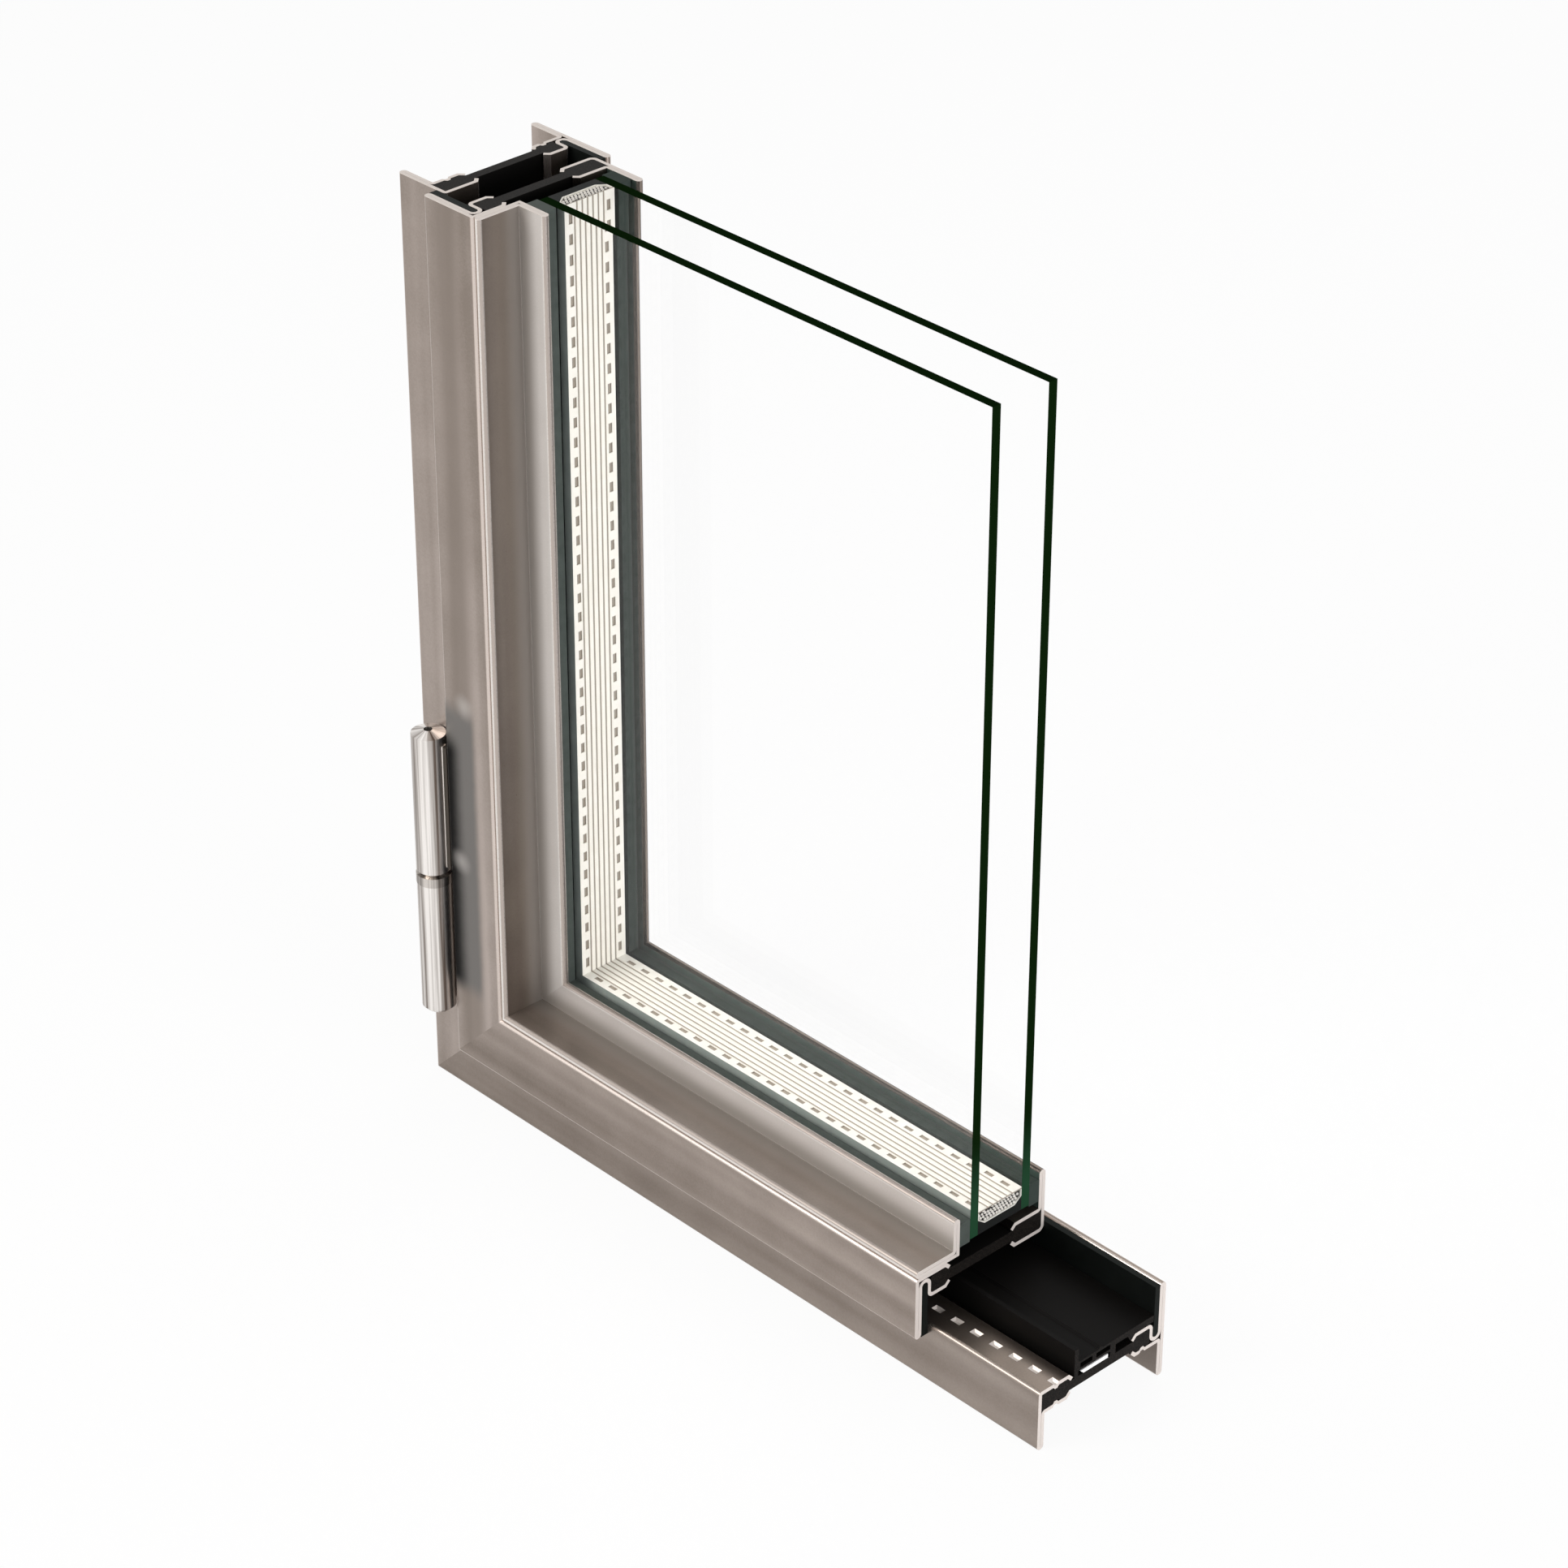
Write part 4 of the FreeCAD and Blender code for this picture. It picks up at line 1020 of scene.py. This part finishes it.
    def in_hollow(self, depth: float, rise: float, radius: float) -> bool:
        """Tells whether a bead at this place lies in the hollow."""
        inset = max(0.0, (self.low - rise) / (self.low - self.foot)) * metres(self.slant)
        margin = metres(self.wall) + inset + radius
        between_sides = self.front + margin <= depth <= self.back - margin
        return between_sides and rise + radius <= self.face - metres(self.roof)

    def build(
        self,
        plastic: bpy.types.Material,
        butyl: bpy.types.Material,
        sieve: bpy.types.Material,
        depths: bpy.types.Material,
    ) -> Iterable[bpy.types.Object]:
        """Builds the tube and its beads, in place of the plain solids.

        Args:
            plastic: the tube's finish.
            butyl: the finish of its two sides, which are bonded to the panes.
            sieve: the beads' finish.
            depths: the finish of the bed behind the front beads.

        Returns:
            The tube and the beads.
        """
        name = self.run.value
        tube = finished_piece(f"spacer_ridged_{name}", self.tube(), plastic)
        tube.data.materials.append(butyl)
        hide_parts(f"spacer_{name}")
        beads = finished_piece(f"spacer_beads_{name}", self.beads(), sieve)
        beads.data.materials.append(depths)
        rounded = [len(face.vertices) == 3 for face in beads.data.polygons]
        beads.data.polygons.foreach_set("use_smooth", rounded)
        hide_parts(f"desiccant_{name}")
        return tube, beads


# Painted light and shade: the sill's profiles are painted darker than the jamb's, the glazing
# beads' faces palest as painted highlight, and the sash's back shells get painted shade on their
# bends and on the side that faces the glass
JAMB_LIT_FACE, SASH_SILL_LIT_FACE = ("#8C8178", "#B8ACA5"), ("#82776E", "#AFA39B")
SHEET_TONES = {
    ("frame_front_shell", Run.JAMB): SheetTone(JAMB_LIT_FACE),
    ("frame_front_shell", Run.SILL): SheetTone(("#7F746B", "#A79C94"), bend="#A0958D"),
    ("frame_back_shell", Run.JAMB): SheetTone(JAMB_LIT_FACE),
    ("frame_back_shell", Run.SILL): SheetTone(("#7F746B", "#A79C94")),
    ("sash_front_shell", Run.JAMB): SheetTone(JAMB_LIT_FACE),
    ("sash_front_shell", Run.SILL): SheetTone(SASH_SILL_LIT_FACE),
    ("sash_back_shell", Run.JAMB): SheetTone(JAMB_LIT_FACE, bend="#4C4641", glass_side_shade="#3C4742"),
    ("sash_back_shell", Run.SILL): SheetTone(SASH_SILL_LIT_FACE, bend="#45403C", glass_side_shade="#3E4C47"),
    ("glazing_bead", Run.JAMB): SheetTone(
        ("#E2DDD8", "#FCF9F6"), ("#574C44", "#74695F"), bend="#B4A9A1", metallic=0.4
    ),
    ("glazing_bead", Run.SILL): SheetTone(
        ("#D6D0CC", "#F2EDE9"), ("#6B6057", "#897E75"), bend="#B4A9A1", metallic=0.4
    ),
}

SHEETS = {
    "frame": ("frame_front_shell", "frame_back_shell"),
    "sash": ("sash_front_shell", "sash_back_shell", "glazing_bead"),
}

# The jamb's spacer is painted paler and the sill's darker, as painted light and shade for how the
# lamps fall on them
SPACER_TONES = {Run.JAMB: ("#F2EEE2", "#FAF7EE"), Run.SILL: ("#E4E1D8", "#ECEAE2")}


@dataclass
class WindowCorner:
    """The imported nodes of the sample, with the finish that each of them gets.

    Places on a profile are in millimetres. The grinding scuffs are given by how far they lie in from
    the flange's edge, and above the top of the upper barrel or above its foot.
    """

    corner: Corner
    dimple_depths: dict[str, float] = field(
        default_factory=lambda: {"frame_front_shell": 8.75, "frame_back_shell": 53.6}
    )
    dimple_middle: float = 0.52
    outer_leg: float = 15.6
    bead_flat: float = 3.1
    # Where the painted dark reflection runs down the sash's flange
    reflection_stripe_inset: float = 11.5
    # Where the painted shade of the hinge starts above the lower barrel's foot, and how far above the top it
    # reaches
    shade_foot: float = 11.0
    deep_shade_over: float = 5.0
    soft_shade_over: float = 20.0
    top_scuff: tuple[float, float] = (12.0, 18.0)
    foot_scuff: tuple[float, float] = (7.0, 11.0)
    barrel_skin: float = 0.05

    def dress(self, nodes: Sequence[str], material: bpy.types.Material) -> None:
        """Puts one finish on some nodes.

        Args:
            nodes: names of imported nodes.
            material: their finish.
        """
        for name in nodes:
            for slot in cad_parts[name].material_slots:
                slot.material = material
        LOG.info("%s on %s", material.name, ", ".join(nodes))

    def cut_of(self, node: str, run: Run) -> float:
        """Gives where a node was cut, along its run, in the row frame."""
        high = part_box(node)[1]
        return high.z if run is Run.JAMB else high.x

    def steel(self, profile: str, run: Run, cut: float) -> SatinSteel:
        """Gives the finish of one folded profile.

        Args:
            profile: the profile's name without its run.
            run: jamb or sill.
            cut: where it was cut, along its run, in the row frame.

        Returns:
            Its satin steel, with what only that profile has.
        """
        low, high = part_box(f"{profile}_{run.value}")
        extras = {"dimple_rows": self.dimple_rows(profile, run)}
        if (profile, run) == ("sash_front_shell", Run.JAMB):
            # The sash's flange gets painted shade and dark reflection of the hinge, and a painted dark stripe
            extras["weld"] = self.weld_tint()
            extras["dull_stripe"] = low.x + metres(self.reflection_stripe_inset)
        if profile == "glazing_bead":
            # The glazing bead gets painted shade at the root of its fold
            rise = (low.x if run is Run.JAMB else low.z) + metres(self.bead_flat)
            extras["root_fold"] = (high.y - metres(self.bead_flat), rise)
        name = f"satin_steel_{profile}_{run.value}"
        return SatinSteel(name, run, cut, SHEET_TONES[profile, run], **extras)

    def dimple_rows(self, profile: str, run: Run) -> tuple[tuple[float, float], ...]:
        """Gives the depth and the rise at the middle of each row of stitch dimples in a profile."""
        if profile not in self.dimple_depths:
            return ()
        depth = self.corner.y + metres(self.dimple_depths[profile])
        foot = self.corner.x if run is Run.JAMB else 0.0
        rows = [(depth, foot + metres(self.outer_leg + self.dimple_middle))]
        if (profile, run) == ("frame_front_shell", Run.SILL):
            rows.append((depth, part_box("frame_front_shell_sill")[1].z - metres(self.dimple_middle)))
        return tuple(rows)

    def weld_tint(self) -> HingeShade:
        """Places the painted shade and dark reflection of the hinge on the sash's flange, beside its two
        barrels.
        """
        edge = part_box("sash_front_shell_jamb")[0].x
        upper_low, upper_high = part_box("hinge_upper_barrel")
        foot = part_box("hinge_lower_barrel")[0].z
        scuffs = tuple(
            (edge + metres(inset), height + metres(over))
            for height, (inset, over) in ((upper_high.z, self.top_scuff), (upper_low.z, self.foot_scuff))
        )
        deep_shade_high = upper_high.z + metres(self.deep_shade_over)
        soft_shade_high = upper_high.z + metres(self.soft_shade_over)
        return HingeShade(edge, foot + metres(self.shade_foot), deep_shade_high, soft_shade_high, scuffs)

    def dress_profiles(self) -> None:
        """Dresses the folded sheets and the polyamide between them."""
        for run in Run:
            for part in ("frame", "sash"):
                cut = self.cut_of(f"{part}_front_shell_{run.value}", run)
                for profile in SHEETS[part]:
                    self.dress([f"{profile}_{run.value}"], self.steel(profile, run, cut).build())
                bars = [f"{part}_thermal_bar_{run.value}"]
                if part == "frame" and run is Run.SILL:
                    bars.append("sill_tray")
                name = f"polyamide_{part}_{run.value}"
                self.dress(bars, FilledPolyamide(name=name, run=run, cut=cut).build())

    def dress_glazing(self) -> None:
        """Dresses the gaskets, the panes, the sealant behind the spacer and the foam strip."""
        # Front gasket painted mid grey as painted light; back one teal-grey as painted reflection of the
        # glass
        front = GasketRubber(name="epdm_rubber_front_painted_light", tones=("#434945", "#545A56"))
        back = GasketRubber(name="epdm_rubber_back_painted_reflection", tones=("#343C38", "#424A46"), sheen=0.02)
        for finish, seals in (
            (front, ("front_glazing_gasket",)),
            (GasketRubber(), ("frame_gasket", "sash_gasket")),
            (back, ("back_glazing_gasket",)),
            (EdgeSealant(), ("edge_sealant",)),
        ):
            self.dress([f"{seal}_{run.value}" for seal in seals for run in Run], finish.build())
        self.dress(["glass_pane_front", "glass_pane_back"], FloatGlass().build())
        self.dress(["insulating_strip"], FoamStrip().build())

    def dress_hinge(self) -> None:
        """Dresses the barrels, the pin and the ring between the barrels."""
        low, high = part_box("hinge_ring")
        axis = ((low.x + high.x) / 2, (low.y + high.y) / 2)
        radius = (high.x - low.x) / 2 + metres(self.barrel_skin)
        barrels = ("hinge_lower_barrel", "hinge_upper_barrel", "hinge_pin")
        self.dress(barrels, TurnedSteel(axis, radius).build())
        # The ring is painted darker, as painted shade in the groove between the barrels
        ring = TurnedSteel(axis, radius, name="ring_in_painted_shade", bright_reflection="#DAD4CE", dull="#57504B")
        self.dress(["hinge_ring"], ring.build())

    def build_spacer(self) -> None:
        """Builds the spacer and its beads on both runs."""
        butyl, sieve = ButylSeal().build(), SieveBeads().build()
        depths = SieveBeads(name="molecular_sieve_in_shade", tones=("#1F1C19", "#2B2724")).build()
        for run in Run:
            spacer = EdgeSpacer(self.corner, run)
            face = spacer.face + (self.corner.x if run is Run.JAMB else 0.0)
            name = f"spacer_plastic_{run.value}"
            plastic = SpacerPlastic(name=name, tones=SPACER_TONES[run], run=run, face=face).build()
            for piece in spacer.build(plastic, butyl, sieve, depths):
                LOG.info("%s has %d faces", piece.name, len(piece.data.polygons))

    def build(self) -> None:
        """Dresses the frame, the sash, the glass, the seals and the hinge."""
        self.dress_profiles()
        self.dress_glazing()
        self.dress_hinge()
        self.build_spacer()


@dataclass(frozen=True)
class SoftBox:
    """A square studio lamp aimed at the middle of the window."""

    name: str
    azimuth: float
    elevation: float
    distance: float
    width: float
    watts: float
    colour: str

    def build(self, target: Vector) -> None:
        """Adds the lamp."""
        out = towards(self.azimuth, self.elevation)
        lamp = bpy.data.lights.new(self.name, "AREA")
        lamp.size = self.width
        lamp.energy = self.watts
        lamp.color = linear(self.colour)[:3]
        holder = bpy.data.objects.new(self.name, lamp)
        holder.location = target + out * self.distance
        holder.rotation_euler = out.to_track_quat("Z", "Y").to_euler()
        bpy.context.scene.collection.objects.link(holder)


@dataclass
class Studio:
    """White floor, soft lamps and the photograph's camera."""

    corner: Corner
    white: str = "#FFFFFF"
    floor_size: float = 30.0
    floor_white: float = 0.93
    floor_gloss: float = 0.35
    fill: float = 0.42
    camera_point: tuple[float, float, float] = (1225.80, -977.98, 1077.71)
    camera_azimuth: float = 46.379
    camera_elevation: float = 31.206
    camera_roll: float = 0.118
    lens: float = 109.53
    sensor: float = 36.0
    lamps: tuple[SoftBox, ...] = (
        SoftBox("key_softbox", -22.0, 30.0, 1.6, 0.8, 11.0, "#FFFAF5"),
        SoftBox("side_softbox", 88.0, 12.0, 1.8, 1.0, 17.0, "#FBFBFF"),
        SoftBox("back_softbox", 200.0, 50.0, 1.8, 1.0, 4.0, "#FFFFFF"),
    )

    def seen(self, tree: Tree) -> Socket:
        """1 for rays from the camera, from gloss and through glass, and 0 for the light on things."""
        path = add_node(tree, "ShaderNodeLightPath").outputs
        first = maths(tree, "MAXIMUM", path["Is Camera Ray"], path["Is Glossy Ray"])
        return maths(tree, "MAXIMUM", first, path["Is Transmission Ray"])

    def world(self) -> None:
        """White all round where it is seen, and a lower even light on the window."""
        world = bpy.data.worlds.new("studio")
        bpy.context.scene.world = world
        world.use_nodes = True
        tree = world.node_tree
        tree.nodes.clear()
        strength = spread(tree, self.seen(tree), self.fill, 1.0)
        back = add_node(tree, "ShaderNodeBackground", {"Color": linear(self.white), "Strength": strength})
        add_node(tree, "ShaderNodeOutputWorld", {"Surface": back.outputs[0]})

    def floor(self) -> None:
        """A white floor that keeps the window's shadow."""
        half = self.floor_size / 2
        corners = [(-half, -half, 0), (half, -half, 0), (half, half, 0), (-half, half, 0)]
        mesh = bpy.data.meshes.new("floor")
        mesh.from_pydata(corners, [], [(0, 1, 2, 3)])
        floor = bpy.data.objects.new("floor", mesh)
        bpy.context.scene.collection.objects.link(floor)
        material, tree = new_material("white_floor")
        white = linear(self.white)
        paint = add_node(tree, "ShaderNodeBsdfDiffuse", {"Color": white})
        glow = add_node(tree, "ShaderNodeEmission", {"Color": white, "Strength": 1.0})
        path = add_node(tree, "ShaderNodeLightPath").outputs
        seen = spread(tree, self.seen(tree), 0.0, self.floor_white)
        mirrored = add_node(
            tree, "ShaderNodeMath", {0: path["Is Glossy Ray"], 1: path["Is Transmission Ray"]},
            operation="SUBTRACT", use_clamp=True,
        ).outputs[0]
        share = between(tree, mirrored, seen, self.floor_gloss)
        show(tree, add_node(tree, "ShaderNodeMixShader", {0: share, 1: paint.outputs[0], 2: glow.outputs[0]}))
        mesh.materials.append(material)
        floor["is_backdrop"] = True

    def camera(self) -> None:
        """The photograph's camera."""
        lens = bpy.data.cameras.new("camera")
        lens.lens = self.lens
        lens.sensor_width = self.sensor
        camera = bpy.data.objects.new("camera", lens)
        across, depth, rise = (metres(length) for length in self.camera_point)
        camera.location = Vector((self.corner.x + across, self.corner.y + depth, rise))
        level = towards(self.camera_azimuth, self.camera_elevation).to_track_quat("Z", "Y").to_matrix()
        roll = Matrix.Rotation(math.radians(self.camera_roll), 3, "Z")
        camera.rotation_euler = (level @ roll).to_euler()
        bpy.context.scene.collection.objects.link(camera)
        bpy.context.scene.camera = camera

    def build(self) -> None:
        """Sets up the studio."""
        bpy.context.scene.view_settings.view_transform = "Standard"
        self.world()
        self.floor()
        self.camera()
        low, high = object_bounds()
        for lamp in self.lamps:
            lamp.build((low + high) / 2)


def main() -> None:
    """Dresses the window corner."""
    logging.basicConfig(level=logging.INFO, format="%(name)s: %(message)s")
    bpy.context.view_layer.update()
    corner = Corner.of_frame()
    WindowCorner(corner).build()
    Studio(corner).build()


if __name__ == "__main__":
    main()
